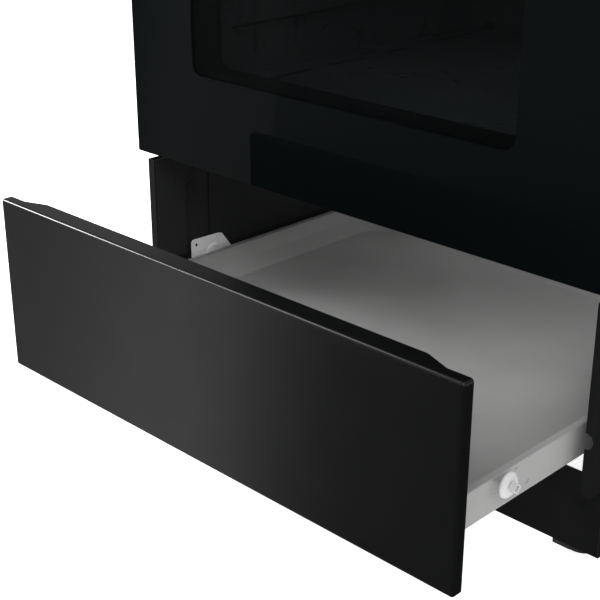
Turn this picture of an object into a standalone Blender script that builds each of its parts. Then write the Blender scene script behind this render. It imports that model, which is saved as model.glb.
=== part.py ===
"""A freestanding gas range, 60 cm wide, standing with its storage drawer part way out.

Metres. +X is the range's right side seen from the front, +Y points to its back, +Z is up.
The origin is on the floor under the middle of the whole object, drawer included.
"""

import math

import bmesh
import bpy
from mathutils import Matrix, Vector

# Overall sizes
WIDTH = 0.593  # across the side panels
FRONT_WIDTH = 0.594  # door, drawer front and control panel
HOB_WIDTH = 0.600
DEPTH = 0.590  # from the door's face to the back
WORKTOP = 0.900
DRAWER_OUT = 0.179  # how far the drawer stands out of the range
SHEET = 0.001
GAP = 0.0003  # between pieces that touch

HALF = WIDTH / 2
FRONT_HALF = FRONT_WIDTH / 2
FACE = (DRAWER_OUT - DEPTH) / 2  # the door's face
BACK = FACE + DEPTH
DRAWER_FACE = FACE - DRAWER_OUT

# Heights above the floor
BODY_LOW = 0.0225
PLINTH_TOP = 0.1025
DRAWER_LOW = 0.090
DRAWER_TOP = 0.2766
POST_LOW = 0.095
POST_TOP = 0.278
POST_WIDTH = 0.0105
DOOR_LOW = 0.2905
DOOR_TOP = 0.7635
PANEL_LOW = 0.7695
PANEL_TOP = 0.8695
HOB_LOW = 0.870

# Depths behind the door's face
POST_DEPTH = 0.0118
POST_RETURN = 0.043
PLINTH_DEPTH = 0.036
MOUTH_DEPTH = 0.047  # the oven front frame, which the closed door meets
REAR_PANEL_DEPTH = 0.577

# Drawer, measured from its front face and its lower edge
FLANGE = 0.011
PULL_FLANGE = 0.0212
PULL_WIDE = 0.272
PULL_NARROW = 0.246
TRAY_HALF = 0.2735
TRAY_LOW = DRAWER_LOW + 0.031
TRAY_TOP = DRAWER_LOW + 0.0655
TRAY_FLOOR = DRAWER_LOW + 0.037
TRAY_HEM = 0.007
TRAY_REAR = 0.545
ROLLER_RADIUS = 0.0117
ROLLER_Y = DRAWER_FACE + 0.0855
ROLLER_Z = DRAWER_LOW + 0.0597
ROLLER_INNER = 0.2812
ROLLER_OUTER = 0.2855
BOSS_RADIUS = 0.0102
PIN_END = 0.2915
PIN_HEAD = 0.0074
PIN_TURN = math.radians(45)

# Runners on the side panels, measured from the door's face
RUNNER_FRONT = 0.067
RUNNER_REAR = 0.520
RUNNER_INNER = 0.2920
RUNNER_SHEET = 0.0012
SUPPORT_RADIUS = 0.0095
SUPPORT_Y = FACE + 0.100
SUPPORT_Z = TRAY_LOW - 0.0006 - SUPPORT_RADIUS
SUPPORT_INNER = 0.262
SUPPORT_OUTER = 0.272

# Door
HINGE_DEPTH = 0.022
HINGE_Z = DOOR_LOW + 0.022
HINGE_X = 0.2655
GLASS = 0.004
FRAME_DEPTH = 0.020
INNER_PANEL_DEPTH = 0.044
INNER_PANEL_LOW = 0.325
WINDOW_HALF = 0.205
WINDOW_LOW = 0.390
WINDOW_TOP = 0.660
HANDLE_Z = 0.722
HANDLE_HALF = 0.245
HANDLE_OUT = 0.046

# Oven
OVEN_HALF = 0.228
OVEN_LOW = 0.345
OVEN_TOP = 0.700
OVEN_REAR = 0.500
OVEN_FLOOR = 0.370
SHELF_LEVELS = [0.425 + 0.045 * level for level in range(5)]
SHELF_WIRE = 0.002

# Controls
KNOB_XS = (-0.225, -0.125, 0.0, 0.125, 0.225)
KNOB_Z = (PANEL_LOW + PANEL_TOP) / 2
KNOB_RADIUS = 0.021
KNOB_PUSH = 0.0045  # free way behind a knob
SPINDLE_RADIUS = 0.004
BUTTON_X = 0.062
BUTTON_RADIUS = 0.008
MANIFOLD_DEPTH = 0.034
INLET_X = 0.262

# Hob: centre (x, depth behind the door's face) and head radius of each burner
BURNERS = {
    "front_left": (-0.150, 0.165, 0.036),
    "rear_left": (-0.150, 0.420, 0.036),
    "front_right": (0.150, 0.165, 0.026),
    "rear_right": (0.150, 0.420, 0.047),
}
HEAD_TOP = WORKTOP + 0.018
CAP_TOP = WORKTOP + 0.026
GRATE_TOP = WORKTOP + 0.038
GRATE_BAR = 0.008

FOOT_X = 0.256
FOOT_DEPTHS = {"front": 0.077, "rear": 0.540}


def clear_scene():
    for obj in list(bpy.data.objects):
        bpy.data.objects.remove(obj)


def material(name, colour, roughness, metallic=0.0):
    made = bpy.data.materials.get(name)
    if made:
        return made
    made = bpy.data.materials.new(name)
    made.use_nodes = True
    shader = made.node_tree.nodes["Principled BSDF"]
    shader.inputs["Base Color"].default_value = (*colour, 1.0)
    shader.inputs["Roughness"].default_value = roughness
    shader.inputs["Metallic"].default_value = metallic
    return made


def black_enamel():
    return material("black_enamel", (0.012, 0.012, 0.013), 0.35)


def drawer_paint():
    return material("drawer_paint", (0.012, 0.012, 0.012), 0.4)


def grey_steel():
    return material("grey_steel", (0.33, 0.33, 0.33), 0.45, 0.6)


def zinc_steel():
    return material("zinc_steel", (0.55, 0.55, 0.55), 0.4, 0.9)


def oven_enamel():
    return material("oven_enamel", (0.05, 0.05, 0.055), 0.3)


def chrome_wire():
    return material("chrome_wire", (0.7, 0.7, 0.7), 0.15, 1.0)


def cast_iron():
    return material("cast_iron", (0.02, 0.02, 0.02), 0.7)


def white_plastic():
    return material("white_plastic", (0.85, 0.85, 0.85), 0.4)


def black_plastic():
    return material("black_plastic", (0.02, 0.02, 0.02), 0.4)


def black_glass():
    return material("black_glass", (0.008, 0.008, 0.009), 0.05)


def clear_glass():
    return material("clear_glass", (0.1, 0.1, 0.1), 0.03)


def aluminium():
    return material("aluminium", (0.6, 0.6, 0.6), 0.4, 1.0)


def brass():
    return material("brass", (0.6, 0.45, 0.2), 0.35, 1.0)


def rubber():
    return material("rubber", (0.03, 0.03, 0.03), 0.8)


# Shapes


def finish(mesh_name, bm):
    bmesh.ops.recalc_face_normals(bm, faces=bm.faces)
    mesh = bpy.data.meshes.new(mesh_name)
    bm.to_mesh(mesh)
    bm.free()
    made = bpy.data.objects.new(mesh_name, mesh)
    bpy.context.scene.collection.objects.link(made)
    return made


def prism(outline, axis, low, high):
    """A flat outline pushed from low to high along an axis. The outline's points are the other two coordinates."""
    place = {
        "x": lambda p, t: (t, p[0], p[1]),
        "y": lambda p, t: (p[0], t, p[1]),
        "z": lambda p, t: (p[0], p[1], t),
    }[axis]
    bm = bmesh.new()
    face = bm.faces.new([bm.verts.new(place(p, low)) for p in outline])
    pushed = bmesh.ops.extrude_face_region(bm, geom=[face])
    moved = [item for item in pushed["geom"] if isinstance(item, bmesh.types.BMVert)]
    bmesh.ops.translate(bm, verts=moved, vec=Vector(place((0, 0), high - low)))
    return finish("prism", bm)


def rectangle(x0, x1, y0, y1):
    return [(x0, y0), (x1, y0), (x1, y1), (x0, y1)]


def rounded_rectangle(x0, x1, y0, y1, radius, steps=3):
    centres = [(x1 - radius, y1 - radius, 0), (x0 + radius, y1 - radius, 90)]
    centres += [(x0 + radius, y0 + radius, 180), (x1 - radius, y0 + radius, 270)]
    points = []
    for x, y, start in centres:
        for step in range(steps + 1):
            angle = math.radians(start + 90 * step / steps)
            points.append((x + radius * math.cos(angle), y + radius * math.sin(angle)))
    return points


def box(x0, x1, y0, y1, z0, z1):
    return prism(rectangle(x0, x1, y0, y1), "z", z0, z1)


def bevel_edges(obj, radius, steps, chosen):
    """Rounds the edges for which chosen(a, b) is true of their two end points."""
    bm = bmesh.new()
    bm.from_mesh(obj.data)
    edges = [edge for edge in bm.edges if chosen(edge.verts[0].co, edge.verts[1].co)]
    bmesh.ops.bevel(bm, geom=edges, offset=radius, segments=steps, affect="EDGES", profile=0.5)
    bmesh.ops.recalc_face_normals(bm, faces=bm.faces)
    bm.to_mesh(obj.data)
    bm.free()
    return obj


def turned(profile, axis, centre, sides=24):
    """A profile of (radius, position along the axis), spun round a line through centre."""
    bm = bmesh.new()
    verts = [bm.verts.new((radius, 0, along)) for radius, along in profile]
    edges = [bm.edges.new(pair) for pair in zip(verts, verts[1:])]
    spun = {"cent": (0, 0, 0), "axis": (0, 0, 1), "angle": 2 * math.pi, "steps": sides}
    bmesh.ops.spin(bm, geom=verts + edges, use_merge=True, **spun)
    bmesh.ops.remove_doubles(bm, verts=bm.verts, dist=1e-6)
    # The spun axis Z becomes X or Y. Positions along the axis are kept.
    turn = {
        "x": Matrix(((0, 0, 1), (1, 0, 0), (0, 1, 0))),
        "y": Matrix(((0, 1, 0), (0, 0, 1), (1, 0, 0))),
        "z": Matrix.Identity(3),
    }[axis]
    bmesh.ops.transform(bm, matrix=turn.to_4x4(), verts=bm.verts)
    bmesh.ops.translate(bm, verts=bm.verts, vec=Vector(centre))
    return finish("turned", bm)


def cylinder(radius, low, high, axis, centre, sides=16):
    return turned([(0, low), (radius, low), (radius, high), (0, high)], axis, centre, sides)


def rod(start, end, radius, sides=6):
    start, end = Vector(start), Vector(end)
    way = end - start
    turn = way.to_track_quat("Z", "Y").to_matrix().to_4x4()
    bm = bmesh.new()
    bmesh.ops.create_cone(
        bm,
        cap_ends=True,
        segments=sides,
        radius1=radius,
        radius2=radius,
        depth=way.length,
        matrix=Matrix.Translation((start + end) / 2) @ turn,
    )
    return finish("rod", bm)


def boolean(obj, others, operation):
    for other in others:
        modifier = obj.modifiers.new(operation.lower(), "BOOLEAN")
        modifier.operation = operation
        modifier.solver = "EXACT"
        modifier.object = other
        bpy.context.view_layer.update()
        graph = bpy.context.evaluated_depsgraph_get()
        mesh = bpy.data.meshes.new_from_object(obj.evaluated_get(graph))
        obj.modifiers.clear()
        obj.data = mesh
        bpy.data.objects.remove(other)
    return obj


def joined(obj, *others):
    return boolean(obj, others, "UNION")


def cut(obj, *cutters):
    return boolean(obj, cutters, "DIFFERENCE")


def mirrored(obj):
    """The same piece for the left side."""
    bm = bmesh.new()
    bm.from_mesh(obj.data)
    bmesh.ops.scale(bm, vec=(-1, 1, 1), verts=bm.verts)
    bpy.data.objects.remove(obj)
    return finish("mirrored", bm)


def node(name, obj, look, origin=None, parent=None):
    """Names a finished piece, puts its origin on its joint and gives it its material."""
    obj.name = name
    obj.data.name = name
    if origin:
        obj.data.transform(Matrix.Translation(-Vector(origin)))
        obj.location = origin
    obj.data.materials.clear()
    obj.data.materials.append(look)
    obj.data.shade_smooth()
    obj.data.set_sharp_from_angle(angle=math.radians(35))
    if parent:
        bpy.context.view_layer.update()
        obj.parent = parent
        obj.matrix_parent_inverse = parent.matrix_world.inverted()
    return obj


def both_sides(name, make, look, origin=None, parent=None):
    """One piece for the right side and its mirror image for the left."""
    right_origin = origin
    left_origin = (-origin[0], origin[1], origin[2]) if origin else None
    node(name + "_right", make(), look, right_origin, parent)
    node(name + "_left", mirrored(make()), look, left_origin, parent)


def joint_axis(name, location):
    empty = bpy.data.objects.new(name, None)
    empty.empty_display_size = 0.05
    empty.location = location
    bpy.context.scene.collection.objects.link(empty)
    return empty


# Body


def side_panel():
    """A sheet with a step in its front edge and a folded post behind the drawer front."""
    plinth_y = FACE + PLINTH_DEPTH
    post_y = FACE + POST_DEPTH
    mouth_y = FACE + MOUTH_DEPTH
    rear_y = FACE + REAR_PANEL_DEPTH + 0.007
    top = WORKTOP - 0.002
    outline = [(plinth_y, BODY_LOW), (rear_y, BODY_LOW), (rear_y, top), (mouth_y, top)]
    outline += [(mouth_y, POST_TOP), (post_y, POST_TOP), (post_y, POST_LOW), (plinth_y, POST_LOW)]
    skin = prism(outline, "x", HALF - SHEET, HALF)
    flange_inner = HALF - POST_WIDTH
    fold = [(HALF - SHEET / 2, post_y), (HALF - SHEET / 2, post_y + SHEET)]
    fold += [(flange_inner + SHEET, post_y + SHEET), (flange_inner + SHEET, post_y + POST_RETURN)]
    fold += [(flange_inner, post_y + POST_RETURN), (flange_inner, post_y)]
    post = prism(fold, "z", POST_LOW, POST_TOP)
    rear_fold = box(HALF - 0.015, HALF - SHEET / 2, rear_y - SHEET, rear_y, BODY_LOW, WORKTOP - 0.040)
    y0, y1 = post_y - 0.01, post_y + POST_RETURN + 0.01
    way = cylinder(0.0080, y0, y1, "y", (flange_inner + 0.0002, 0, ROLLER_Z - 0.0005), 24)
    x0, x1 = flange_inner - 0.01, flange_inner + SHEET + 0.0005
    slot = box(x0, x1, post_y + SHEET + 0.0005, y1, ROLLER_Z - 0.0170, ROLLER_Z + 0.0075)
    panel = cut(joined(skin, post, rear_fold), way, slot)
    bevel_edges(panel, 0.0014, 2, lambda a, b: min(a.x, b.x) > HALF - 1e-6 and max(a.y, b.y) < post_y + 1e-6)
    return panel


def rear_panel():
    y = FACE + REAR_PANEL_DEPTH
    half = HALF - SHEET - 0.0005
    panel = box(-half, half, y, y + SHEET, BODY_LOW + 0.0005, WORKTOP - 0.003)
    cutters = [cylinder(0.0115, y - 0.01, y + 0.01, "y", (INLET_X, 0, KNOB_Z))]
    for row in range(5):
        z = 0.50 + 0.022 * row
        cutters.append(box(-0.09, 0.09, y - 0.01, y + 0.01, z, z + 0.006))
    return cut(panel, *cutters)


def plinth():
    """A folded strip under the drawer, notched at its upper corners for the posts."""
    y = FACE + PLINTH_DEPTH
    half = HALF - SHEET - GAP
    lip = 0.012
    outline = [(y, BODY_LOW), (y + lip, BODY_LOW), (y + lip, BODY_LOW + SHEET)]
    outline += [(y + SHEET, BODY_LOW + SHEET), (y + SHEET, PLINTH_TOP - 0.010)]
    outline += [(y + 2 * SHEET, PLINTH_TOP - 0.010), (y + 2 * SHEET, PLINTH_TOP), (y, PLINTH_TOP)]
    strip = prism(outline, "x", -half, half)
    notches = []
    for side in (-1, 1):
        x0, x1 = sorted((side * (HALF - POST_WIDTH - 0.0005), side * (HALF + 0.01)))
        notches.append(box(x0, x1, y - 0.01, y + 0.02, POST_LOW - 0.0005, PLINTH_TOP + 0.01))
    return cut(strip, *notches)


def base_frame():
    """An L-section ring that holds the feet."""
    half = HALF - SHEET - GAP
    y0 = FACE + PLINTH_DEPTH + 0.0125
    y1 = FACE + REAR_PANEL_DEPTH - GAP
    wall = 0.0015
    ring = box(-half, half, y0, y1, BODY_LOW, BODY_LOW + 0.020)
    pocket = box(-half + wall, half - wall, y0 + wall, y1 - wall, BODY_LOW + wall, BODY_LOW + 0.03)
    hole = box(-half + 0.065, half - 0.065, y0 + 0.080, y1 - 0.060, BODY_LOW - 0.01, BODY_LOW + 0.03)
    stems = []
    for depth in FOOT_DEPTHS.values():
        for x in (-FOOT_X, FOOT_X):
            stems.append(cylinder(0.0055, BODY_LOW - 0.01, BODY_LOW + 0.01, "z", (x, FACE + depth, 0), 12))
    return cut(ring, pocket, hole, *stems)


def foot(x, y):
    under = BODY_LOW - GAP
    profile = [(0, 0), (0.016, 0), (0.018, 0.002), (0.018, 0.006), (0.010, 0.012), (0.010, under)]
    profile += [(0.005, under), (0.005, BODY_LOW + 0.018), (0, BODY_LOW + 0.018)]
    return turned(profile, "z", (x, y, 0), 16)


def oven_front_frame():
    half = HALF - SHEET - 0.0005
    low, high = 0.279, 0.768
    y = FACE + MOUTH_DEPTH
    frame = box(-half, half, y, y + 0.020, low, high)
    pocket = box(-half + SHEET, half - SHEET, y + SHEET, y + 0.03, low + SHEET, high - SHEET)
    mouth = box(-OVEN_HALF, OVEN_HALF, y - 0.01, y + 0.03, OVEN_LOW, OVEN_TOP)
    slots = []
    for side in (-1, 1):
        x0, x1 = sorted((side * (HINGE_X - 0.0045), side * (HINGE_X + 0.0045)))
        slots.append(box(x0, x1, y - 0.01, y + 0.005, HINGE_Z - 0.008, HINGE_Z + 0.008))
    return cut(frame, pocket, mouth, *slots)


def door_seal():
    y0 = FACE + INNER_PANEL_DEPTH + 0.0005
    y1 = FACE + MOUTH_DEPTH - GAP
    outline = rounded_rectangle(-0.246, 0.246, OVEN_LOW - 0.014, OVEN_TOP + 0.014, 0.014)
    inside = rounded_rectangle(-0.236, 0.236, OVEN_LOW - 0.004, OVEN_TOP + 0.004, 0.008)
    return cut(prism(outline, "y", y0, y1), prism(inside, "y", y0 - 0.01, y1 + 0.01))


# Drawer


def drawer_front():
    """A folded panel: flanges all round, the top one widened in the middle as the pull."""
    y = DRAWER_FACE
    outline = rounded_rectangle(-FRONT_HALF, FRONT_HALF, DRAWER_LOW, DRAWER_TOP, 0.003, 2)
    panel = prism(outline, "y", y, y + FLANGE)
    bevel_edges(panel, 0.0018, 2, lambda a, b: max(a.y, b.y) < y + 1e-6)
    inset = 0.0012
    hollow = [-FRONT_HALF + inset, FRONT_HALF - inset, DRAWER_LOW + inset, DRAWER_TOP - inset]
    pocket = prism(rounded_rectangle(*hollow, 0.0025, 2), "y", y + 0.0012, y + FLANGE + 0.01)
    wide, narrow = PULL_WIDE, PULL_NARROW
    pull = [(-wide, y + FLANGE - 0.002), (wide, y + FLANGE - 0.002), (wide, y + 0.0120)]
    pull += [(narrow, y + PULL_FLANGE), (-narrow, y + PULL_FLANGE), (-wide, y + 0.0120)]
    return joined(cut(panel, pocket), prism(pull, "z", DRAWER_TOP - inset, DRAWER_TOP))


def drawer_tray():
    """A pressed tray hung inside a hollow hem that curls under, with a boss for the roller on each side."""
    y0, y1 = DRAWER_FACE + 0.0015, DRAWER_FACE + TRAY_REAR
    inner = TRAY_HALF - TRAY_HEM
    front = DRAWER_FACE + 0.025
    hem = box(-TRAY_HALF, TRAY_HALF, y0, y1, TRAY_LOW, TRAY_TOP)
    bevel_edges(hem, 0.004, 3, lambda a, b: max(a.z, b.z) < TRAY_LOW + 1e-6 and abs(a.x - b.x) < 1e-6)
    hollow = box(-TRAY_HALF + SHEET, TRAY_HALF - SHEET, y0 + SHEET, y1 - SHEET, TRAY_LOW + SHEET, TRAY_TOP - SHEET)
    bevel_edges(hollow, 0.003, 2, lambda a, b: max(a.z, b.z) < TRAY_LOW + SHEET + 1e-6 and abs(a.x - b.x) < 1e-6)
    mouth = box(-TRAY_HALF + 0.006, TRAY_HALF - 0.006, y0 + 0.006, y1 - 0.006, TRAY_LOW - 0.01, TRAY_LOW + 0.003)
    dish = rounded_rectangle(-inner - SHEET, inner + SHEET, front - SHEET, y1 - TRAY_HEM + SHEET, 0.045, 5)
    dish = prism(dish, "z", TRAY_FLOOR - SHEET, TRAY_TOP - SHEET / 2)
    space = rounded_rectangle(-inner, inner, front, y1 - TRAY_HEM, 0.044, 5)
    space = prism(space, "z", TRAY_FLOOR, TRAY_TOP + 0.01)
    bevel_edges(space, 0.008, 2, lambda a, b: max(a.z, b.z) < TRAY_FLOOR + 1e-6)
    bosses = []
    for side in (-1, 1):
        end = ROLLER_INNER - GAP
        profile = [(0, TRAY_HALF - 0.0005), (BOSS_RADIUS, TRAY_HALF - 0.0005)]
        profile += [(BOSS_RADIUS - 0.0004, end - 0.001), (BOSS_RADIUS - 0.0016, end), (0, end)]
        profile = [(radius, side * along) for radius, along in profile]
        boss = turned(profile, "x", (0, ROLLER_Y, ROLLER_Z), 24)
        above = box(-HALF, HALF, ROLLER_Y - 0.02, ROLLER_Y + 0.02, TRAY_TOP - 0.0015, TRAY_TOP + 0.02)
        bosses.append(cut(boss, above))
    return joined(cut(joined(cut(hem, hollow, mouth), dish), space), *bosses)


def drawer_roller():
    bore, edge = 0.0033, 0.0006
    inner, outer = ROLLER_INNER, ROLLER_OUTER
    profile = [(bore, inner), (ROLLER_RADIUS - edge, inner), (ROLLER_RADIUS, inner + edge)]
    profile += [(ROLLER_RADIUS, outer - 0.0022), (ROLLER_RADIUS - 0.0025, outer), (bore, outer), (bore, inner)]
    return turned(profile, "x", (0, ROLLER_Y, ROLLER_Z), 24)


def roller_pin():
    """A snap pin: a round stem in the roller's bore and a square hollow head outside it."""
    neck = ROLLER_OUTER + GAP
    stem = cylinder(0.003, ROLLER_INNER + GAP, neck + 0.001, "x", (0, ROLLER_Y, ROLLER_Z), 12)
    half = PIN_HEAD / 2
    head = box(neck, PIN_END, -half, half, -half, half)
    hole = box(neck + 0.0015, PIN_END + 0.01, -half + 0.001, half - 0.001, -half + 0.001, half - 0.001)
    head = cut(head, hole)
    head.data.transform(Matrix.Rotation(PIN_TURN, 4, "X"))
    head.data.transform(Matrix.Translation((0, ROLLER_Y, ROLLER_Z)))
    return joined(stem, head)


def drawer_runner():
    """A stamped rail: an ear at the front, a ledge for the tray's roller and the support roller's axle."""
    y0, y1 = FACE + RUNNER_FRONT, FACE + RUNNER_REAR
    outer = RUNNER_INNER + RUNNER_SHEET
    ledge_top = ROLLER_Z - ROLLER_RADIUS - GAP
    ledge_low = ledge_top - RUNNER_SHEET
    low = SUPPORT_Z - 0.009
    ear_top = DRAWER_LOW + 0.0773
    ear_rear = y0 + 0.048
    foot_rear = y0 + 0.065
    outline = [(y0, low), (foot_rear, low), (foot_rear, ledge_low), (y1, ledge_low)]
    outline += [(y1, DRAWER_LOW + 0.0520), (foot_rear, DRAWER_LOW + 0.0520)]
    outline += [(ear_rear, ear_top - 0.0025), (ear_rear - 0.006, ear_top - 0.0012)]
    outline += [(y0 + 0.004, ear_top), (y0 + 0.001, ear_top - 0.001), (y0, ear_top - 0.004)]
    plate = prism(outline, "x", RUNNER_INNER, outer)
    ledge = box(ROLLER_INNER - 0.001, outer - 0.0004, y0 + 0.002, y1, ledge_low, ledge_top)
    stub = [(0, SUPPORT_INNER), (0.003, SUPPORT_INNER), (0.003, SUPPORT_OUTER + GAP)]
    stub += [(0.006, SUPPORT_OUTER + GAP), (0.006, outer - 0.0004), (0, outer - 0.0004)]
    axle = turned(stub, "x", (0, SUPPORT_Y, SUPPORT_Z), 12)
    hole = cylinder(0.002, RUNNER_INNER - 0.01, outer + 0.01, "x", (0, y0 + 0.0077, ear_top - 0.0077), 10)
    return cut(joined(plate, ledge, axle), hole)


def support_roller():
    bore = 0.0033
    profile = [(bore, SUPPORT_INNER), (SUPPORT_RADIUS, SUPPORT_INNER), (SUPPORT_RADIUS, SUPPORT_OUTER)]
    profile += [(bore, SUPPORT_OUTER), (bore, SUPPORT_INNER)]
    return turned(profile, "x", (0, SUPPORT_Y, SUPPORT_Z), 20)


# Door


def door_outer_glass():
    outline = rounded_rectangle(-FRONT_HALF, FRONT_HALF, DOOR_LOW, DOOR_TOP, 0.002, 2)
    return prism(outline, "y", FACE, FACE + GLASS)


def door_frame():
    """A pan behind the glass, with a tunnel round the window and cheeks for the hinge pins."""
    half = FRONT_HALF - 0.0015
    low, high = DOOR_LOW + 0.002, DOOR_TOP - 0.002
    y0, y1 = FACE + GLASS + GAP, FACE + FRAME_DEPTH
    wide = WINDOW_HALF + SHEET
    tunnel_low, tunnel_high = WINDOW_LOW - 0.005, WINDOW_TOP + 0.005
    pan = box(-half, half, y0, y1, low, high)
    pocket = box(-half + SHEET, half - SHEET, y0 + SHEET, y1 + 0.01, low + SHEET, high - SHEET)
    tunnel = box(-wide - SHEET, wide + SHEET, y0, FACE + 0.038, tunnel_low - SHEET, tunnel_high + SHEET)
    window = box(-wide, wide, y0 - 0.01, FACE + 0.05, tunnel_low, tunnel_high)
    cheeks, holes = [], []
    for side in (-1, 1):
        for near in (HINGE_X - 0.008, HINGE_X + 0.006):
            x0, x1 = sorted((side * near, side * (near + 0.002)))
            cheeks.append(box(x0, x1, y0 + SHEET / 2, FACE + 0.029, HINGE_Z - 0.013, HINGE_Z + 0.011))
        x0, x1 = sorted((side * (HINGE_X - 0.0045), side * (HINGE_X + 0.0045)))
        holes.append(box(x0, x1, y0 + SHEET, y1 + 0.01, low - 0.01, low + 0.005))
        x0, x1 = sorted((side * (HINGE_X - 0.015), side * (HINGE_X + 0.015)))
        holes.append(cylinder(0.0038, x0, x1, "x", (0, FACE + HINGE_DEPTH, HINGE_Z), 12))
    return cut(joined(cut(pan, pocket), tunnel, *cheeks), window, *holes)


def door_inner_panel():
    half = HALF - 0.020
    low, high = INNER_PANEL_LOW, DOOR_TOP - 0.010
    y0, y1 = FACE + FRAME_DEPTH + GAP, FACE + INNER_PANEL_DEPTH
    pan = box(-half, half, y0, y1, low, high)
    bevel_edges(pan, 0.0015, 1, lambda a, b: min(a.y, b.y) > y1 - 1e-6)
    pocket = box(-half + SHEET, half - SHEET, y0 - 0.01, y1 - SHEET, low + SHEET, high - SHEET)
    window = rounded_rectangle(-WINDOW_HALF, WINDOW_HALF, WINDOW_LOW, WINDOW_TOP, 0.012, 3)
    return cut(pan, pocket, prism(window, "y", y0, y1 + 0.01))


def door_inner_glass():
    y1 = FACE + INNER_PANEL_DEPTH - SHEET - GAP
    return box(-0.225, 0.225, y1 - GLASS, y1, WINDOW_LOW - 0.020, WINDOW_TOP + 0.020)


def door_handle():
    bar_y = FACE - HANDLE_OUT
    bar = cylinder(0.009, -HANDLE_HALF, HANDLE_HALF, "x", (0, bar_y, HANDLE_Z), 16)
    posts = []
    for x in (-0.225, 0.225):
        posts.append(cylinder(0.007, bar_y, FACE - GAP, "y", (x, 0, HANDLE_Z), 12))
    return joined(bar, *posts)


def hinge_arm():
    """A flat arm hooked behind the oven front frame, its round front end on the door's hinge axis."""
    y = FACE + HINGE_DEPTH
    half = 0.006
    outline = [(y, HINGE_Z + half), (y + 0.063, HINGE_Z + half), (y + 0.063, HINGE_Z - half - 0.012)]
    outline += [(y + 0.035, HINGE_Z - half - 0.012), (y + 0.035, HINGE_Z - half), (y, HINGE_Z - half)]
    for step in range(1, 6):
        angle = math.radians(270 - 30 * step)
        outline.append((y + half * math.cos(angle), HINGE_Z + half * math.sin(angle)))
    arm = prism(outline, "x", HINGE_X - 0.003, HINGE_X + 0.003)
    pin = cylinder(0.0035, HINGE_X - 0.0095, HINGE_X + 0.0095, "x", (0, y, HINGE_Z), 12)
    return joined(arm, pin)


# Oven


def oven_liner():
    y0 = FACE + MOUTH_DEPTH + SHEET + GAP
    y1 = FACE + OVEN_REAR
    half, low, high = OVEN_HALF, OVEN_LOW, OVEN_TOP
    shell = box(-half - SHEET, half + SHEET, y0, y1 + SHEET, low - SHEET, high + SHEET)
    space = box(-half, half, y0 - 0.01, y1, low, high)
    return cut(shell, space)


def oven_floor_plate():
    """The plate over the burner, with flanges that stand on the liner and slots for the heat."""
    half = OVEN_HALF - 0.001
    y0, y1 = FACE + 0.056, FACE + OVEN_REAR - 0.006
    plate = box(-half, half, y0, y1, OVEN_LOW + GAP, OVEN_FLOOR)
    hollow = box(-half + 0.0015, half - 0.0015, y0 + 0.0015, y1 - 0.0015, OVEN_LOW - 0.01, OVEN_FLOOR - 0.0015)
    slots = []
    for side in (-1, 1):
        for place in range(4):
            y = y0 + 0.045 + 0.095 * place
            x0, x1 = sorted((side * 0.190, side * 0.198))
            slots.append(box(x0, x1, y, y + 0.065, OVEN_FLOOR - 0.01, OVEN_FLOOR + 0.01))
    return cut(plate, hollow, *slots)


def oven_burner():
    """A U-shaped burner tube on two feet."""
    z = OVEN_LOW + 0.012
    radius = 0.007
    half = 0.085
    y0, y1 = FACE + 0.110, FACE + 0.440
    bend = 0.060
    path = [(-half, y0, z)]
    for centre, start in ((-half + bend, 180), (half - bend, 90)):
        for step in range(7):
            angle = math.radians(start - 15 * step)
            path.append((centre + bend * math.cos(angle), y1 - bend + bend * math.sin(angle), z))
    path.append((half, y0, z))
    tube = tube_along(path, radius)
    feet = []
    for x in (-half, half):
        feet.append(box(x - 0.004, x + 0.004, y0 + 0.05, y0 + 0.058, OVEN_LOW + GAP, z))
    return joined(tube, *feet)


def tube_along(path, radius, sides_quarter=2):
    curve = bpy.data.curves.new("path", "CURVE")
    curve.dimensions = "3D"
    curve.bevel_depth = radius
    curve.bevel_resolution = sides_quarter
    curve.use_fill_caps = True
    spline = curve.splines.new("POLY")
    spline.points.add(len(path) - 1)
    for point, place in zip(spline.points, path):
        point.co = (*place, 1)
    guide = bpy.data.objects.new("path", curve)
    bpy.context.scene.collection.objects.link(guide)
    bpy.context.view_layer.update()
    graph = bpy.context.evaluated_depsgraph_get()
    mesh = bpy.data.meshes.new_from_object(guide.evaluated_get(graph))
    bpy.data.objects.remove(guide)
    bm = bmesh.new()
    bm.from_mesh(mesh)
    bmesh.ops.remove_doubles(bm, verts=bm.verts, dist=1e-6)
    return finish("tube", bm)


def shelf_support():
    """Two upright wires that carry five shelf wires."""
    y0, y1 = FACE + 0.075, FACE + 0.470
    upright_x, shelf_x = OVEN_HALF - 0.0042, OVEN_HALF - 0.0080
    low, high = SHELF_LEVELS[0] - 0.030, SHELF_LEVELS[-1] + 0.035
    uprights = []
    for y in (FACE + 0.110, FACE + 0.435):
        uprights.append(rod((upright_x, y, low), (upright_x, y, high), 0.0025, 8))
    shelves = [rod((shelf_x, y0, z), (shelf_x, y1, z), SHELF_WIRE) for z in SHELF_LEVELS]
    return joined(uprights[0], *shelves, uprights[1])


def wire_rack():
    half = OVEN_HALF - 0.0105
    z = SHELF_LEVELS[2] + SHELF_WIRE + GAP + 0.0025
    y0, y1 = FACE + 0.070, FACE + 0.470
    sides = [rod((x, y0, z), (x, y1, z), 0.0025, 8) for x in (-half, half)]
    ends = [rod((-half - 0.001, y, z), (half + 0.001, y, z), 0.0022, 8) for y in (y0 + 0.004, y1 - 0.004)]
    wires = []
    count = 13
    for place in range(1, count):
        x = -half + 2 * half * place / count
        wires.append(rod((x, y0 + 0.001, z + 0.0023), (x, y1 - 0.001, z + 0.0023), 0.0015))
    middle = rod((-half, (y0 + y1) / 2, z), (half, (y0 + y1) / 2, z), 0.0019)
    return joined(sides[0], *ends, sides[1], middle, *wires)


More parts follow.
